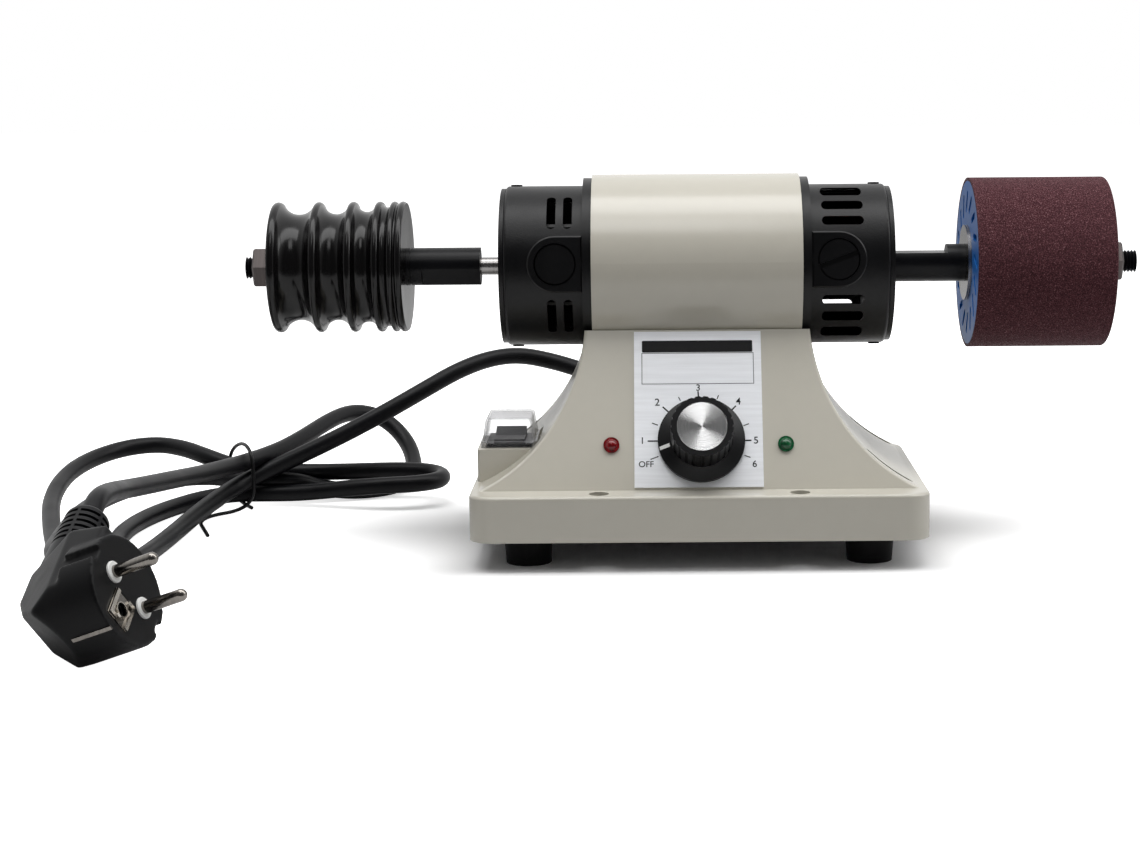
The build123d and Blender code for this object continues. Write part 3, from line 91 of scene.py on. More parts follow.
lead_route = [
    (-20, 86, 46.3), (-20, 103, 46.3), (-25, 118, 48.5), (-39, 129, 54), (-56, 134, 60),
    (-73, 136, 65), (-89, 133, 68.5), (-104, 126, 67.5), (-119, 116, 62.8), (-134, 108, 55),
    (-150, 101, 46.5), (-168, 95, 37.3), (-187, 90, 28.5), (-205, 87, 20.6), (-218, 82, 15.2),
    (-227, 71, 11.4), (-232, 54, 9), (-236, 34, 7), (-239, 10, 5.2), (-241, -16, 4.4),
    (-243, -44, 4.4),
]
first_left_loop = [
    (-246, -66, 4.4), (-254, -82, 4.4), (-267, -83, 4.4), (-275, -66, 4.4), (-281, -44, 4.4),
    (-289, -20, 5.5), (-298, 8, 8), (-307, 42, 13), (-309, 75, 18), (-303, 101, 21.5),
    (-290, 119, 24), (-274, 124, 25), (-259, 117, 24), (-246, 107, 21.5), (-233, 101, 18),
]
low_right_loop = [
    (-220, 99, 15.2), (-206, 99, 14.6), (-191, 100, 14.3), (-176, 101, 14.2), (-161, 103, 14.2),
    (-147, 105, 14), (-133, 104, 13.5), (-125, 95, 13), (-126, 83, 12.8), (-137, 75, 12.6),
    (-152, 75, 12), (-167, 78, 10.5), (-183, 83, 8), (-198, 86, 6.4), (-213, 86, 6.4),
]
second_left_loop = [
    (-229, 87, 6.2), (-243, 80, 5), (-252, 66, 4.4), (-258, 49, 4.4), (-262, 31, 4.4),
    (-264, 12, 4.4), (-263, -9, 4.6), (-258, -31, 6), (-252, -52, 9.6), (-249, -72, 13.4),
    (-255, -88, 13.6), (-266, -91, 13.7), (-274, -78, 13.8), (-277, -56, 13.8), (-280, -30, 13.8),
    (-283, 0, 13.8), (-283, 28, 13.2), (-280, 56, 12.5), (-274, 80, 11.8), (-263, 98, 11.3),
    (-250, 104, 11.6), (-238, 100, 12), (-226, 92, 12),
]
high_right_loop = [
    (-214, 90.5, 11.8), (-204, 90.5, 12), (-196, 91.5, 11), (-188, 94, 7.8), (-176, 98, 5),
    (-163, 102, 4.4), (-150, 113, 4.6), (-144, 128, 7), (-145, 142, 12), (-149, 154, 18.5),
    (-156, 162, 25.5), (-165, 166, 31.5), (-175, 162, 35), (-183, 151, 35.3), (-190, 136, 33),
    (-197, 120, 29.6), (-205, 104, 26.4), (-213, 90, 24.6),
]
plug_route = [
    (-221, 74, 24), (-228, 55, 24.5), (-234, 30, 26.5), (-239, 0, 30), (-244, -32, 33.6),
    (-246, -58, 37.1), (-244.5, -82, 41), (-241.5, -104, 44.6), (-238.8, -124, 47.8),
    (-237.8, -140, 48.6), (-238.2, -152, 43.2), (-239.4, -170, 33.4),
]
cord_route = lead_route + first_left_loop + low_right_loop + second_left_loop + high_right_loop + plug_route

tie_route = [
    (-227, 13, 1.1), (-232, 28, 1.1), (-237, 43, 1.1), (-235, 58, 1.1), (-222, 70, 1.1),
    (-215, 68, 8), (-215, 68, 20), (-216, 70, 30), (-222, 82, 33), (-231, 101, 27), (-235, 109, 18),
    (-234, 106, 6), (-227, 92, 1.1), (-218, 76, 1.1),
]


# Part of a noise pattern's range that carries most of its values
pattern_low = 0.3
pattern_high = 0.7


def linear(red, green, blue):
    """Screen colour, 0 to 255, as the linear colour a shader takes."""
    out = []
    for value in (red, green, blue):
        share = value / 255
        out.append(share / 12.92 if share <= 0.04045 else ((share + 0.055) / 1.055) ** 2.4)
    return (*out, 1.0)


def new_material(name, colour, roughness, metallic=0.0, **sockets):
    """Principled material; any other socket is named with underscores for spaces."""
    made = bpy.data.materials.new(name)
    made.use_nodes = True
    shader = made.node_tree.nodes["Principled BSDF"]
    shader.inputs["Base Color"].default_value = linear(*colour)
    shader.inputs["Roughness"].default_value = roughness
    shader.inputs["Metallic"].default_value = metallic
    for socket, value in sockets.items():
        shader.inputs[socket.replace("_", " ")].default_value = value
    return made


def shader_of(made):
    """Principled node of a material."""
    return made.node_tree.nodes["Principled BSDF"]


def place_of(tree, stretch=(1.0, 1.0, 1.0)):
    """Coordinates fixed to the piece, stretched along its axes."""
    place = tree.nodes.new("ShaderNodeTexCoord")
    scaled = tree.nodes.new("ShaderNodeVectorMath")
    scaled.operation = "MULTIPLY"
    scaled.inputs[1].default_value = stretch
    tree.links.new(place.outputs["Object"], scaled.inputs[0])
    return scaled.outputs["Vector"]


def noise(tree, scale, detail=2.0, roughness=0.5, stretch=(1.0, 1.0, 1.0)):
    """Noise fixed to the piece, with its scale in turns to the metre."""
    made = tree.nodes.new("ShaderNodeTexNoise")
    made.inputs["Scale"].default_value = scale
    made.inputs["Detail"].default_value = detail
    made.inputs["Roughness"].default_value = roughness
    tree.links.new(place_of(tree, stretch), made.inputs["Vector"])
    return made.outputs["Fac"]


def ramp(tree, factor, stops):
    """Colour ramp with (place, screen colour) stops."""
    made = tree.nodes.new("ShaderNodeValToRGB")
    elements = made.color_ramp.elements
    while len(elements) < len(stops):
        elements.new(0.5)
    for element, (place, colour) in zip(elements, stops):
        element.position = place
        element.color = linear(*colour)
    tree.links.new(factor, made.inputs["Fac"])
    return made.outputs["Color"]


def add_bump(made, height, strength, distance):
    """Use a height output as the bump of a material."""
    tree = made.node_tree
    bump = tree.nodes.new("ShaderNodeBump")
    bump.inputs["Strength"].default_value = strength
    bump.inputs["Distance"].default_value = distance
    tree.links.new(height, bump.inputs["Height"])
    tree.links.new(bump.outputs["Normal"], shader_of(made).inputs["Normal"])


def add_range(made, factor, socket, low, high):
    """Drive a number of the shader by a pattern, between two values."""
    tree = made.node_tree
    spread = tree.nodes.new("ShaderNodeMapRange")
    spread.inputs["From Min"].default_value = pattern_low
    spread.inputs["From Max"].default_value = pattern_high
    spread.inputs["To Min"].default_value = low
    spread.inputs["To Max"].default_value = high
    tree.links.new(factor, spread.inputs["Value"])
    tree.links.new(spread.outputs["Result"], shader_of(made).inputs[socket])


def most(tree, first, second):
    """Larger of two outputs."""
    made = tree.nodes.new("ShaderNodeMath")
    made.operation = "MAXIMUM"
    tree.links.new(first, made.inputs[0])
    tree.links.new(second, made.inputs[1])
    return made.outputs["Value"]


def toned(colour, share):
    """Screen colour made darker or lighter by a share."""
    return tuple(min(255, value * (1 + share)) for value in colour)


def add_tone(made, factor, colour, spread):
    """Vary the colour of a material by a pattern."""
    tree = made.node_tree
    stops = [(pattern_low, toned(colour, -spread)), (pattern_high, toned(colour, spread))]
    tree.links.new(ramp(tree, factor, stops), shader_of(made).inputs["Base Color"])


def grained(name, colour, roughness, scale, spread=0.05, strength=0.1, distance=0.0002, metallic=0.0,
            **sockets):
    """Material with a fine grain as its bump and wider blotches in its colour and gloss."""
    made = new_material(name, colour, roughness, metallic, **sockets)
    grain = noise(made.node_tree, scale, 3.0)
    blotches = noise(made.node_tree, 45, 2.0)
    add_tone(made, blotches, colour, spread)
    add_range(made, blotches, "Roughness", roughness * 0.88, roughness * 1.12)
    add_bump(made, grain, strength, distance)
    return made


def turned(name, colour, roughness, spread=0.08, strength=0.12, metallic=1.0, **sockets):
    """Metal with fine turning marks round the spindle."""
    made = new_material(name, colour, roughness, metallic, **sockets)
    marks = noise(made.node_tree, 900, 2.0, 0.6, (1.0, 0.02, 0.02))
    add_tone(made, marks, colour, spread)
    add_range(made, marks, "Roughness", roughness * 0.8, roughness * 1.2)
    add_bump(made, marks, strength, 0.0001)
    return made


def painted_grey():
    """Beige-grey powder coat with an orange-peel surface."""
    colour = (196, 192, 180)
    made = new_material("painted_grey", colour, 0.23, Specular_IOR_Level=0.65)
    tree = made.node_tree
    peel = noise(tree, 800, 1.0)
    add_tone(made, noise(tree, 160, 3.0), colour, 0.004)
    add_range(made, noise(tree, 300, 2.0), "Roughness", 0.225, 0.235)
    add_bump(made, peel, 0.04, 0.0003)
    return made


def polished_wood():
    """Dark burnishing wheel, turned and polished to a gloss."""
    colour = (9, 8, 9)
    made = new_material("dark_wood", colour, 0.18, Specular_IOR_Level=0.28)
    tree = made.node_tree
    rings = noise(tree, 420, 3.0, 0.6, (1.0, 0.05, 0.05))
    pores = noise(tree, 1400, 2.0, 0.5, (0.15, 1.0, 1.0))
    add_tone(made, rings, colour, 0.35)
    add_range(made, rings, "Roughness", 0.14, 0.24)
    add_bump(made, pores, 0.05, 0.0001)
    return made


def abrasive_cloth():
    """Maroon-brown grit on the drum sleeve, with bright grains."""
    made = new_material("abrasive_brown", (66, 32, 37), 0.8, Specular_IOR_Level=0.15)
    tree = made.node_tree
    grit = noise(tree, 2000, 3.0, 0.7)
    stops = [(0.3, (38, 16, 20)), (0.48, (66, 32, 38)), (0.6, (100, 58, 64)), (0.72, (166, 124, 128))]
    tree.links.new(ramp(tree, grit, stops), shader_of(made).inputs["Base Color"])
    add_range(made, grit, "Roughness", 0.95, 0.5)
    add_bump(made, grit, 0.8, 0.0006)
    return made


def brushed_plate():
    """Silver panel foil with fine level brushing."""
    colour = (244, 246, 250)
    made = new_material("panel_silver", colour, 0.42, 0.15, Specular_IOR_Level=0.5)
    lines = noise(made.node_tree, 700, 2.0, 0.6, (0.04, 1.0, 1.0))
    add_tone(made, lines, colour, 0.02)
    add_range(made, lines, "Roughness", 0.36, 0.5)
    add_bump(made, lines, 0.06, 0.0001)
    return made


def spun_metal():
    """Aluminium cap turned in fine rings about the piece's own axis."""
    colour = (236, 236, 237)
    rings_per_metre = 3500
    made = new_material("spun_aluminium", colour, 0.24, 1.0, Anisotropic=0.97, Anisotropic_Rotation=0.25)
    tree = made.node_tree
    length = tree.nodes.new("ShaderNodeVectorMath")
    length.operation = "LENGTH"
    tree.links.new(place_of(tree), length.inputs[0])
    rings = tree.nodes.new("ShaderNodeTexNoise")
    rings.noise_dimensions = "1D"
    rings.inputs["Scale"].default_value = rings_per_metre
    tree.links.new(length.outputs["Value"], rings.inputs["W"])
    add_tone(made, rings.outputs["Fac"], colour, 0.14)
    tangent = tree.nodes.new("ShaderNodeTangent")
    tangent.direction_type = "RADIAL"
    tangent.axis = "Z"
    tree.links.new(tangent.outputs["Tangent"], shader_of(made).inputs["Tangent"])
    return made


def clear_vinyl():
    """Soft hazy clear boot over the switch, clearer face on than at its edges."""
    colour = (178, 178, 182)
    slant_blend = 0.35
    face_cover = 0.1
    edge_cover = 0.85
    made = new_material("clear_boot", colour, 0.12, Specular_IOR_Level=0.7)
    tree = made.node_tree
    haze = noise(tree, 220, 3.0)
    add_tone(made, haze, colour, 0.06)
    add_bump(made, haze, 0.12, 0.0006)
    slant = tree.nodes.new("ShaderNodeLayerWeight")
    slant.inputs["Blend"].default_value = slant_blend
    cover = tree.nodes.new("ShaderNodeMapRange")
    cover.inputs["To Min"].default_value = face_cover
    cover.inputs["To Max"].default_value = edge_cover
    tree.links.new(slant.outputs["Facing"], cover.inputs["Value"])
    tree.links.new(cover.outputs["Result"], shader_of(made).inputs["Alpha"])
    return made


def lamp_lens(name, colour):
    """Coloured lens with a moulded ripple."""
    made = new_material(name, colour, 0.12, Specular_IOR_Level=0.5)
    ripple = noise(made.node_tree, 700, 1.0)
    add_tone(made, ripple, colour, 0.25)
    add_bump(made, ripple, 0.15, 0.0003)
    return made


materials = {
    "painted_grey": painted_grey(),
    "plate_steel": grained("plate_steel", (58, 58, 60), 0.5, 900, metallic=0.4),
    "bright_steel": turned("bright_steel", (140, 138, 137), 0.24),
    "black_steel": grained("black_steel", (11, 11, 14), 0.32, 1200, 0.2, Specular_IOR_Level=0.15),
    "core_steel": grained("core_steel", (110, 110, 112), 0.5, 800, metallic=1.0),
    "foot_rubber": grained("foot_rubber", (16, 16, 17), 0.75, 1500, 0.15, 0.2, Specular_IOR_Level=0.15),
    "panel_silver": brushed_plate(),
    "cap_aluminium": grained("cap_aluminium", (205, 205, 206), 0.3, 900, metallic=1.0),
    "black_plastic": grained("black_plastic", (9, 9, 11), 0.36, 1900, 0.15, 0.16, 0.0004,
                             Specular_IOR_Level=0.24),
    "white_plastic": grained("white_plastic", (238, 238, 236), 0.4, 1500, 0.02),
    "red_lens": lamp_lens("red_lens", (108, 6, 14)),
    "green_lens": lamp_lens("green_lens", (12, 78, 44)),
    "clear_boot": clear_vinyl(),
    "board_green": grained("board_green", (30, 90, 52), 0.4, 700),
    "nylon": grained("nylon", (225, 222, 212), 0.5, 900),
    "copper": grained("copper", (190, 112, 70), 0.35, 2400, 0.1, 0.3, metallic=1.0),
    "brass": grained("brass", (200, 168, 96), 0.3, 1200, metallic=1.0),
    "carbon": grained("carbon", (40, 40, 42), 0.6, 1600, 0.1),
    "dark_wood": polished_wood(),
    "blue_plastic": grained("blue_plastic", (24, 96, 172), 0.42, 1300, 0.06, Specular_IOR_Level=0.3),
    "abrasive_brown": abrasive_cloth(),
    "cord_black": grained("cord_black", (10, 10, 13), 0.4, 1700, 0.15, 0.1, Specular_IOR_Level=0.18),
    "nickel": turned("nickel", (128, 124, 119), 0.15),
}
spun_aluminium = spun_metal()
nut_steel = turned("nut_steel", (78, 73, 72), 0.34)
trim_nickel = turned("trim_nickel", (205, 200, 192), 0.2)
plug_black = grained("plug_black", (8, 8, 10), 0.45, 1900, 0.15, 0.12, 0.0003, Specular_IOR_Level=0.14)
print_black = grained("print_black", (18, 18, 20), 0.5, 2000, 0.1, Specular_IOR_Level=0.2)
print_grey = grained("print_grey", (120, 120, 124), 0.5, 2000, 0.08)

for entry in frame["record"]["subparts"]:
    mesh = nodes[entry["node"]].data
    mesh.materials.clear()
    mesh.materials.append(materials[entry["material_slot"]])
nodes["spindle_nuts"].data.materials[0] = nut_steel


def link(piece, body):
    """Put a new piece in the scene, moving with a CAD body."""
    scene.collection.objects.link(piece)
    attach(piece, body)
    return piece


def frame_matrix(origin, right, up, out):
    """Matrix of a local frame whose numbers are millimetres and whose result is metres."""
    turn = Matrix((right, up, out)).transposed().to_4x4()
    return Matrix.Translation(origin * MM) @ turn @ Matrix.Scale(MM, 4)


def solid(name, outlines, low, high, matrix, material):
    """Thin solid raised from flat outlines in a local frame, between two heights."""
    work = bmesh.new()
    for outline in outlines:
        bottom = [work.verts.new((x, y, low)) for x, y in outline]
        top = [work.verts.new((x, y, high)) for x, y in outline]
        work.faces.new(list(reversed(bottom)))
        work.faces.new(top)
        for i in range(len(outline)):
            j = (i + 1) % len(outline)
            work.faces.new((bottom[i], bottom[j], top[j], top[i]))
    bmesh.ops.transform(work, matrix=matrix, verts=work.verts)
    bmesh.ops.recalc_face_normals(work, faces=work.faces)
    data = bpy.data.meshes.new(name)
    work.to_mesh(data)
    work.free()
    data.materials.append(material)
    return bpy.data.objects.new(name, data)


def lathe(profile, centre, steps=48):
    """Vertices and faces of a closed (radius, height) profile turned about an upright at a centre."""
    verts = []
    faces = []
    count = len(profile)
    for step in range(steps):
        angle = 2 * math.pi * step / steps
        for radius, height in profile:
            x = centre[0] + radius * math.cos(angle)
            y = centre[1] + radius * math.sin(angle)
            verts.append((x, y, height))
        for i in range(count):
            here = step * count
            after = ((step + 1) % steps) * count
            j = (i + 1) % count
            faces.append((here + i, here + j, after + j, after + i))
    return verts, faces


def turned_piece(name, profile, centres, matrix, material):
    """One mesh of equal turned rings in a local frame."""
    verts = []
    faces = []
    for centre in centres:
        more_verts, more_faces = lathe(profile, centre)
        faces += [tuple(index + len(verts) for index in face) for face in more_faces]
        verts += more_verts
    data = bpy.data.meshes.new(name)
    data.from_pydata(verts, [], faces)
    data.transform(matrix)
    work = bmesh.new()
    work.from_mesh(data)
    bmesh.ops.remove_doubles(work, verts=work.verts, dist=1e-7)
    bmesh.ops.recalc_face_normals(work, faces=work.faces)
    work.to_mesh(data)
    work.free()
    data.materials.append(material)
    return bpy.data.objects.new(name, data)


def rectangle(left, low, right, high, corner=0.0, steps=5):
    """Outline of a rectangle, with round corners if asked."""
    if corner == 0:
        return [(left, low), (right, low), (right, high), (left, high)]
    points = []
    centres = [
        (right - corner, high - corner), (left + corner, high - corner),
        (left + corner, low + corner), (right - corner, low + corner),
    ]
    for quarter, (x, y) in enumerate(centres):
        for step in range(steps + 1):
            angle = math.radians(90 * (quarter + step / steps))
            points.append((x + corner * math.cos(angle), y + corner * math.sin(angle)))
    return points


def spoke(angle, inner, outer, width):
    """Outline of a dial mark at an angle, in degrees from the right."""
    along = Vector((math.cos(math.radians(angle)), math.sin(math.radians(angle))))
    across = Vector((-along.y, along.x)) * width / 2
    near = along * inner
    far = along * outer
    return [tuple(near - across), tuple(far - across), tuple(far + across), tuple(near + across)]


# Print on the control panel, in millimetres from the knob's centre
dial_centre = panel_origin + panel_right * knob_right + panel_up * knob_up
dial = frame_matrix(dial_centre, panel_right, panel_up, panel_out)
print_low = plate_thickness
print_high = plate_thickness + print_thickness
major_width = 0.62
minor_width = 0.42
# Each mark: angle, inner and outer radius
major_marks = [(180, 18.9, 23.4), (137, 18.9, 22.9), (93, 20.2, 22.7), (46, 18.9, 22.0), (0, 18.9, 21.8)]
minor_marks = [
    (159, 20.2, 23.0), (116, 20.4, 22.4), (69.5, 20.2, 22.2), (20, 19.6, 22.2), (200.5, 20.0, 23.7),
    (-20, 19.8, 22.6),
]
marks = [spoke(angle, inner, outer, major_width) for angle, inner, outer in major_marks]
marks += [spoke(angle, inner, outer, minor_width) for angle, inner, outer in minor_marks]
dial_marks = solid("dial_marks", marks, print_low, print_high, dial, print_black)
link(dial_marks, "base")

header_box = (-25.7, 40.8, 23.0, 46.25)
header_corner = 0.5
header_outline = rectangle(*header_box, corner=header_corner)
header = solid("panel_header", [header_outline], print_low, print_high, dial, print_black)
link(header, "base")

outline_box = (-25.9, 26.0, 23.5, 40.6)
left, low, right, high = outline_box
edge = 0.35
outline_strips = [
    rectangle(left, low, right, low + edge),
    rectangle(left, high - edge, right, high),
    rectangle(left, low + edge, left + edge, high - edge),
    rectangle(right - edge, low + edge, right, high - edge),
]
panel_outline = solid("panel_outline", outline_strips, print_low, print_high, dial, print_grey)
link(panel_outline, "base")

# Each label: text, place and height of its capitals
labels = [
    ("1", -25.7, 0.1, 3.0), ("2", -19.1, 17.6, 3.2), ("3", -1.1, 24.2, 2.9), ("4", 16.4, 17.8, 3.1),
    ("5", 23.8, -0.1, 3.1), ("6", 23.0, -10.8, 2.9), ("OFF", -24.1, -10.6, 2.6),
]
letter_share = 0.69
letter_weight = 0.03


def printed_label(text, x, y, height):
    """Lettering printed flat on the panel, given by the height of its capitals."""
    data = bpy.data.curves.new("label_" + text, "FONT")
    data.body = text
    data.size = height / letter_share
    data.align_x = "CENTER"
    data.align_y = "CENTER"
    data.offset = letter_weight
    data.extrude = print_thickness / 2
    data.materials.append(print_black)
    piece = bpy.data.objects.new("label_" + text, data)
    piece.matrix_world = dial @ Matrix.Translation((x, y, plate_thickness + print_thickness / 2))
    return piece


for text, x, y, height in labels:
    link(printed_label(text, x, y, height), "base")

# Spun cap on the knob, with its own axis for the turning marks
cap_bevel = 0.35
cap_profile = [
    (0.0, 0.0), (cap_radius - cap_bevel, 0.0), (cap_radius, -cap_bevel), (cap_radius, -cap_depth),
    (0.0, -cap_depth),
]
spun_cap = turned_piece("spun_cap", cap_profile, [(0, 0)], Matrix.Scale(MM, 4), spun_aluminium)
cap_centre = dial_centre + panel_out * knob_top
spun_cap.matrix_world = frame_matrix(cap_centre, panel_right, panel_up, panel_out) @ Matrix.Scale(1 / MM, 4)
link(spun_cap, "knob")
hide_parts("knob_cap")


# Dark sheets inside the right bell, a painted shade behind all its rear slots but the first below the middle,
# in millimetres
shade_sheet_radius = 33.2
shade_sheet_thickness = 0.6
shade_sheet_left = 54.5
shade_sheet_right = 74.8
shade_sheet_arcs = [(10, 100), (-100, -40)]
shade_sheet_step = 3


def vent_shade_sheet():
    """Curved dark strips about the motor's axis, a painted shade seen through the slots, each between two
    angles up from the rear.
    """
    barrel_low, barrel_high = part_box("motor_barrel")
    centre_y = (barrel_low[1] + barrel_high[1]) / 2 / MM
    centre_z = (barrel_low[2] + barrel_high[2]) / 2 / MM
    centre = Vector((0, centre_y, centre_z))
    axis = frame_matrix(centre, Vector((0, 1, 0)), Vector((0, 0, 1)), Vector((1, 0, 0)))
    outlines = []
    for start, end in shade_sheet_arcs:
        angles = [math.radians(angle) for angle in range(start, end + 1, shade_sheet_step)]
        rounds = [(math.cos(angle), math.sin(angle)) for angle in angles]
        inner_radius = shade_sheet_radius - shade_sheet_thickness
        outer = [(shade_sheet_radius * x, shade_sheet_radius * y) for x, y in rounds]
        inner = [(inner_radius * x, inner_radius * y) for x, y in reversed(rounds)]
        outlines.append(outer + inner)
    return solid("vent_shade_sheet", outlines, shade_sheet_left, shade_sheet_right, axis, materials["black_plastic"])


# Dark sheet that stands for the shade inside the bell, not a part of the machine
link(vent_shade_sheet(), "base")


def round_wire(name, points, radius, material):
    """Open smooth wire along a route in millimetres."""
    data = bpy.data.curves.new(name, "CURVE")
    data.dimensions = "3D"
    spline = data.splines.new("NURBS")
    spline.points.add(len(points) - 1)
    for point, place in zip(spline.points, points):
        point.co = (*(Vector(place) * MM), 1.0)
    spline.order_u = 3
    spline.use_endpoint_u = True
    data.resolution_u = 8
    data.bevel_depth = radius * MM
    data.bevel_resolution = 6
    data.use_fill_caps = True
    data.materials.append(materials[material])
    return bpy.data.objects.new(name, data)


# Cord and its tie
power_cord = link(round_wire("power_cord", cord_route, cord_radius, "cord_black"), "base")
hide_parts("power_lead", "cord_hank", "plug_lead")
wire_tie = link(round_wire("wire_tie", tie_route, tie_radius, "black_plastic"), "base")
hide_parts("cord_tie")

# Plug: the moulded body softened at its edges, and a ribbed boot, in millimetres from between the pins
plug_up = pin_axis.cross(pin_line_guide).normalized()
pin_line = plug_up.cross(pin_axis).normalized()
plug = frame_matrix(plug_face, pin_line, plug_up, pin_axis)
soft_voxel = 0.6
soft_rounds = 12


def softened(name, node, material):
    """Copy of a CAD solid with its edges rounded as moulding leaves them."""
    piece = bpy.data.objects.new(name, nodes[node].data.copy())
    scene.collection.objects.link(piece)
    remesh = piece.modifiers.new("remesh", "REMESH")
    remesh.mode = "VOXEL"
    remesh.voxel_size = soft_voxel * MM
    smooth = piece.modifiers.new("smooth", "SMOOTH")
    smooth.iterations = soft_rounds
    shape = bpy.data.meshes.new_from_object(piece.evaluated_get(bpy.context.evaluated_depsgraph_get()))
    scene.collection.objects.unlink(piece)
    piece.modifiers.clear()
    piece.data = shape
    shape.materials.clear()
    shape.materials.append(material)
    shape.shade_smooth()
    return piece


plug_shell = link(softened("plug_shell", "plug_body", plug_black), "base")
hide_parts("plug_body")

boot_up = 22.5
boot_back = 35.0
boot_root_radius = 10.2
boot_tip_radius = 8.6
boot_length = 34.0
boot_dome = 3.4
rib_rows = [13.0, 16.2, 19.4, 22.6, 25.8, 29.0]
rib_gap = 1.5
rib_depth = 1.7
rib_columns = 6
rib_column_width = 50
rib_turn = -12
rib_wall = 0.15
boot_steps = 144
boot_dome_step = 15
boot_sharp_angle = 35


def boot_radius(along):
    """Radius of the plain boot at a distance from the plug, with its rounded tip."""
    plain = boot_root_radius + (boot_tip_radius - boot_root_radius) * along / boot_length
    over = max(0.0, along - (boot_length - boot_dome))
    return plain - boot_dome + math.sqrt(boot_dome ** 2 - over ** 2)


def ribbed_boot():
    """Tapered boot with rows of slots cut in columns round it."""
    dome_start = boot_length - boot_dome
    stations = [(0.0, False), (rib_rows[0] - rib_gap, False)]
    for row in rib_rows:
        slot_low = row - rib_gap / 2
        slot_high = row + rib_gap / 2
        stations += [(slot_low, False), (slot_low + rib_wall, True)]
        stations += [(slot_high - rib_wall, True), (slot_high, False)]
    for angle in range(0, 91, boot_dome_step):
        stations.append((dome_start + boot_dome * math.sin(math.radians(angle)), False))
    half_column = 180 / rib_columns
    work = bmesh.new()
    rows = []
    for along, slotted in stations:
        row = []
        for step in range(boot_steps):
            angle = 360 * step / boot_steps
            from_column = abs((angle - rib_turn + half_column) % (2 * half_column) - half_column)
            cut = rib_depth if slotted and from_column < rib_column_width / 2 else 0.0
            radius = boot_radius(along) - cut
            turn = math.radians(angle)
            row.append(work.verts.new((radius * math.cos(turn), radius * math.sin(turn), along)))
        rows.append(row)
    for lower, upper in zip(rows, rows[1:]):
        for step in range(boot_steps):
            after = (step + 1) % boot_steps
            work.faces.new((lower[step], lower[after], upper[after], upper[step]))
    work.faces.new(list(reversed(rows[0])))
    work.faces.new(rows[-1])
    seat = plug_face + plug_up * boot_up - pin_axis * boot_back
    bmesh.ops.transform(work, matrix=frame_matrix(seat, pin_line, -pin_axis, plug_up), verts=work.verts)
    bmesh.ops.recalc_face_normals(work, faces=work.faces)
    data = bpy.data.meshes.new("ribbed_boot")
    work.to_mesh(data)
    work.free()
    data.shade_smooth()
    data.set_sharp_from_angle(angle=math.radians(boot_sharp_angle))
    data.materials.append(materials["cord_black"])
    return bpy.data.objects.new("ribbed_boot", data)


plug_ribs = link(ribbed_boot(), "base")
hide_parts("plug_boot")

# Metal and white trim on the plug's face
collar_outer = 4.1
collar_height = 1.0
collar_play = 0.03
collar_lift = 0.02
collar_inner = pin_radius + collar_play
collar_round = 0.35
collar_profile = [
    (collar_inner, collar_lift), (collar_outer, collar_lift), (collar_outer, collar_height - collar_round),
    (collar_outer - collar_round, collar_height), (collar_inner, collar_height),
]
pin_places = [(-pin_spacing / 2, 0), (pin_spacing / 2, 0)]
pin_collars = turned_piece("pin_collars", collar_profile, pin_places, plug, materials["white_plastic"])
link(pin_collars, "base")

strip_width = 1.7
strip_height = 0.9
frame_side = 5.5
frame_top = -4.5
frame_bottom = -16.5
stub = 4.0
stub_end = frame_side - stub
frame_inside = frame_side - strip_width
strip_low = frame_bottom + strip_width
strip_high = frame_top - strip_width
earth_strips = [
    [(-frame_side, frame_top), (-frame_side, frame_bottom), (-stub_end, frame_bottom),
     (-stub_end, strip_low), (-frame_inside, strip_low), (-frame_inside, frame_top)],
    [(frame_side, frame_bottom), (frame_side, frame_top), (stub_end, frame_top),
     (stub_end, strip_high), (frame_inside, strip_high), (frame_inside, frame_bottom)],
]
earth_frame = solid("earth_frame", earth_strips, 0.0, strip_height, plug, trim_nickel)
link(earth_frame, "base")

rim_inner = 2.5
rim_outer = 3.3
rim_height = 0.6
rim_outer_slope = 0.2
rim_inner_slope = 0.1
rim_profile = [
    (rim_inner, 0.0), (rim_outer, 0.0), (rim_outer - rim_outer_slope, rim_height),
    (rim_inner + rim_inner_slope, rim_height),
]
earth_rim = turned_piece("earth_rim", rim_profile, [(0, -earth_offset)], plug, trim_nickel)
link(earth_rim, "base")

strip_left = -2.6
strip_right = -1.0
strip_run = 16.5
strip_proud = 0.4
strip_top = 0.3
contact = [rectangle(strip_left, -plug_radius - strip_proud, strip_right, strip_proud - plug_radius)]
earth_contact = solid("earth_contact", contact, -strip_run, strip_top, plug, materials["nickel"])
link(earth_contact, "base")

cord_pieces = [nodes[n] for n in ("cord_gland", "plug_pins", "earth_plate")]
cord_pieces += [plug_shell, plug_ribs, wire_tie, pin_collars, earth_frame, earth_rim, earth_contact]

# Camera
camera_data = bpy.data.cameras.new("camera")
camera_data.lens = camera_lens
camera_data.sensor_width = camera_sensor
camera_data.shift_x = camera_shift
camera = bpy.data.objects.new("camera", camera_data)
scene.collection.objects.link(camera)
pitch = Matrix.Rotation(math.radians(90 - camera_pitch), 4, "X")
roll = Matrix.Rotation(math.radians(-camera_roll), 4, "Z")
camera.matrix_world = Matrix.Translation(camera_place * MM) @ (pitch @ roll)
scene.camera = camera

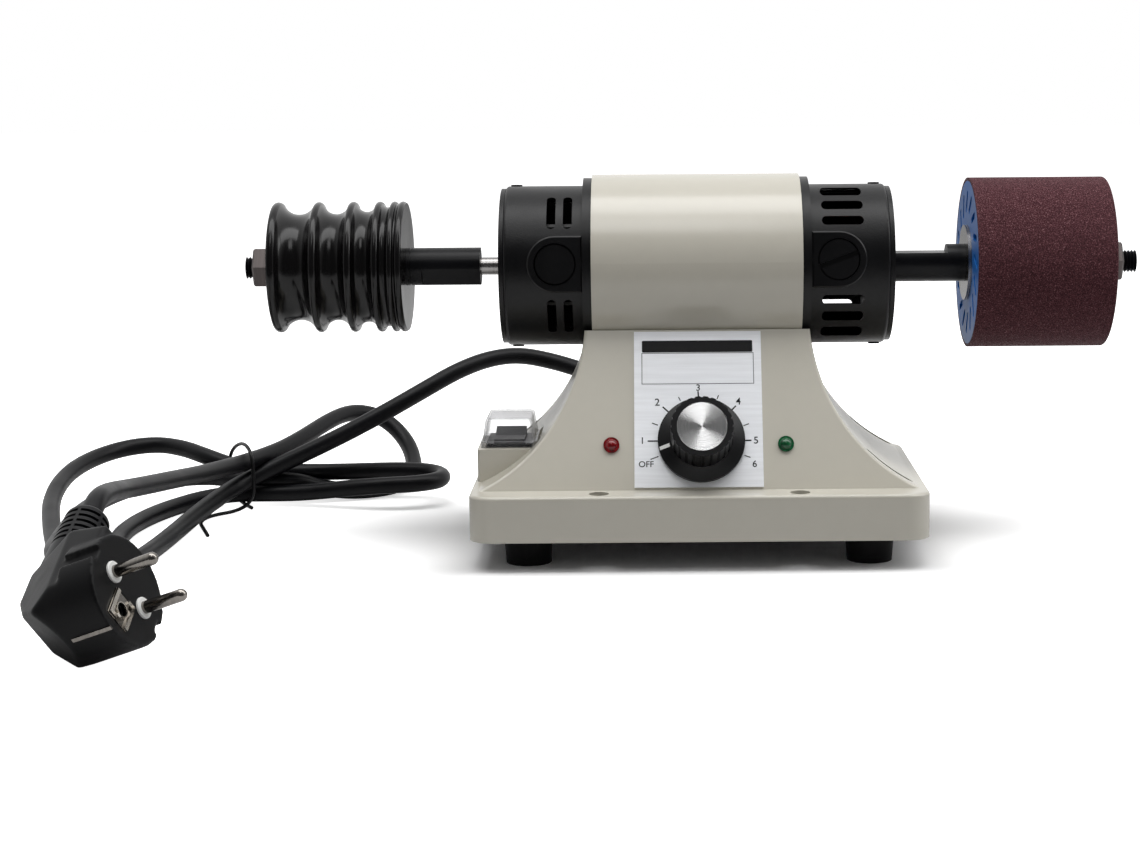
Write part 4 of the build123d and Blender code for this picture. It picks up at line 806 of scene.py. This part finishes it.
# Floor, in metres: white where seen or mirrored, greyer as a reflector, glowing to plain white off the base
floor_reach = 6.0
floor_front = -0.5
floor_mesh = bpy.data.meshes.new("floor")
floor_corners = [
    (-floor_reach, floor_front, 0), (floor_reach, floor_front, 0),
    (floor_reach, floor_reach, 0), (-floor_reach, floor_reach, 0),
]
floor_mesh.from_pydata(floor_corners, [], [(0, 1, 2, 3)])
floor = bpy.data.objects.new("floor", floor_mesh)
scene.collection.objects.link(floor)
glow_start = 0.106
glow_full = 0.22
glow_strength = 1.0
depth_weight = 1.6
reflector_grey = (175, 175, 175)
plain_white = (255, 255, 255)
floor_white = new_material("floor_white", plain_white, 1.0, Specular_IOR_Level=0.0)
floor_mesh.materials.append(floor_white)
floor_tree = floor_white.node_tree
floor_side = floor_tree.nodes.new("ShaderNodeVectorMath")
floor_side.operation = "ABSOLUTE"
floor_tree.links.new(place_of(floor_tree, (1.0, depth_weight, 1.0)), floor_side.inputs[0])
floor_split = floor_tree.nodes.new("ShaderNodeSeparateXYZ")
floor_tree.links.new(floor_side.outputs["Vector"], floor_split.inputs["Vector"])
floor_distance = most(floor_tree, floor_split.outputs["X"], floor_split.outputs["Y"])
glow = floor_tree.nodes.new("ShaderNodeMapRange")
glow.inputs["From Min"].default_value = glow_start
glow.inputs["From Max"].default_value = glow_full
glow.inputs["To Max"].default_value = glow_strength
floor_tree.links.new(floor_distance, glow.inputs["Value"])
seen = floor_tree.nodes.new("ShaderNodeLightPath")
shown = floor_tree.nodes.new("ShaderNodeMath")
shown.operation = "MULTIPLY"
floor_tree.links.new(glow.outputs["Result"], shown.inputs[0])
floor_tree.links.new(seen.outputs["Is Camera Ray"], shown.inputs[1])
sight = most(floor_tree, seen.outputs["Is Camera Ray"], seen.outputs["Is Transmission Ray"])
sight = most(floor_tree, sight, seen.outputs["Is Glossy Ray"])
floor_tone = [(0.0, reflector_grey), (1.0, plain_white)]
floor_tree.links.new(ramp(floor_tree, sight, floor_tone), shader_of(floor_white).inputs["Base Color"])
shader_of(floor_white).inputs["Emission Color"].default_value = (1, 1, 1, 1)
floor_tree.links.new(shown.outputs["Value"], shader_of(floor_white).inputs["Emission Strength"])

# World: white to the camera and through glass, dim in front where it is mirrored, and an even fill as a light
fill_strength = 0.26
front_mirror = 0.1
room_start = -0.6
room_end = 0.1
world = bpy.data.worlds.new("world")
scene.world = world
world.use_nodes = True
world_tree = world.node_tree
fill = world_tree.nodes["Background"]
fill.inputs["Color"].default_value = (1, 1, 1, 1)
fill.inputs["Strength"].default_value = fill_strength
backdrop = world_tree.nodes.new("ShaderNodeBackground")
backdrop.inputs["Color"].default_value = (1, 1, 1, 1)
path = world_tree.nodes.new("ShaderNodeLightPath")

clear_sight = most(world_tree, path.outputs["Is Camera Ray"], path.outputs["Is Transmission Ray"])
straight = most(world_tree, clear_sight, path.outputs["Is Glossy Ray"])
heading = world_tree.nodes.new("ShaderNodeTexCoord")
split = world_tree.nodes.new("ShaderNodeSeparateXYZ")
world_tree.links.new(heading.outputs["Generated"], split.inputs["Vector"])
room = world_tree.nodes.new("ShaderNodeMapRange")
room.inputs["From Min"].default_value = room_start
room.inputs["From Max"].default_value = room_end
room.inputs["To Min"].default_value = front_mirror
world_tree.links.new(split.outputs["Y"], room.inputs["Value"])
world_tree.links.new(most(world_tree, clear_sight, room.outputs["Result"]), backdrop.inputs["Strength"])
choice = world_tree.nodes.new("ShaderNodeMixShader")
world_tree.links.new(straight, choice.inputs["Fac"])
world_tree.links.new(fill.outputs["Background"], choice.inputs[1])
world_tree.links.new(backdrop.outputs["Background"], choice.inputs[2])
world_tree.links.new(choice.outputs["Shader"], world_tree.nodes["World Output"].inputs["Surface"])


def soft_light(name, place, target, width, depth, power):
    """Soft box aimed at a point, in metres and watts."""
    data = bpy.data.lights.new(name, "AREA")
    data.shape = "RECTANGLE"
    data.size = width
    data.size_y = depth
    data.energy = power
    light = bpy.data.objects.new(name, data)
    light.location = place
    light.rotation_euler = (Vector(target) - Vector(place)).to_track_quat("-Z", "Y").to_euler()
    scene.collection.objects.link(light)


soft_light("top_light", place=(0.2, -0.1, 1.3), target=(0.2, 0, 0.1), width=2.2, depth=0.6, power=17)
soft_light("key_light", place=(-0.1, -0.8, 1.35), target=(0, 0, 0.1), width=0.5, depth=0.5, power=2.6)
soft_light("right_light", place=(1.2, 0.0, 0.8), target=(0, 0, 0.1), width=0.5, depth=0.5, power=3.0)
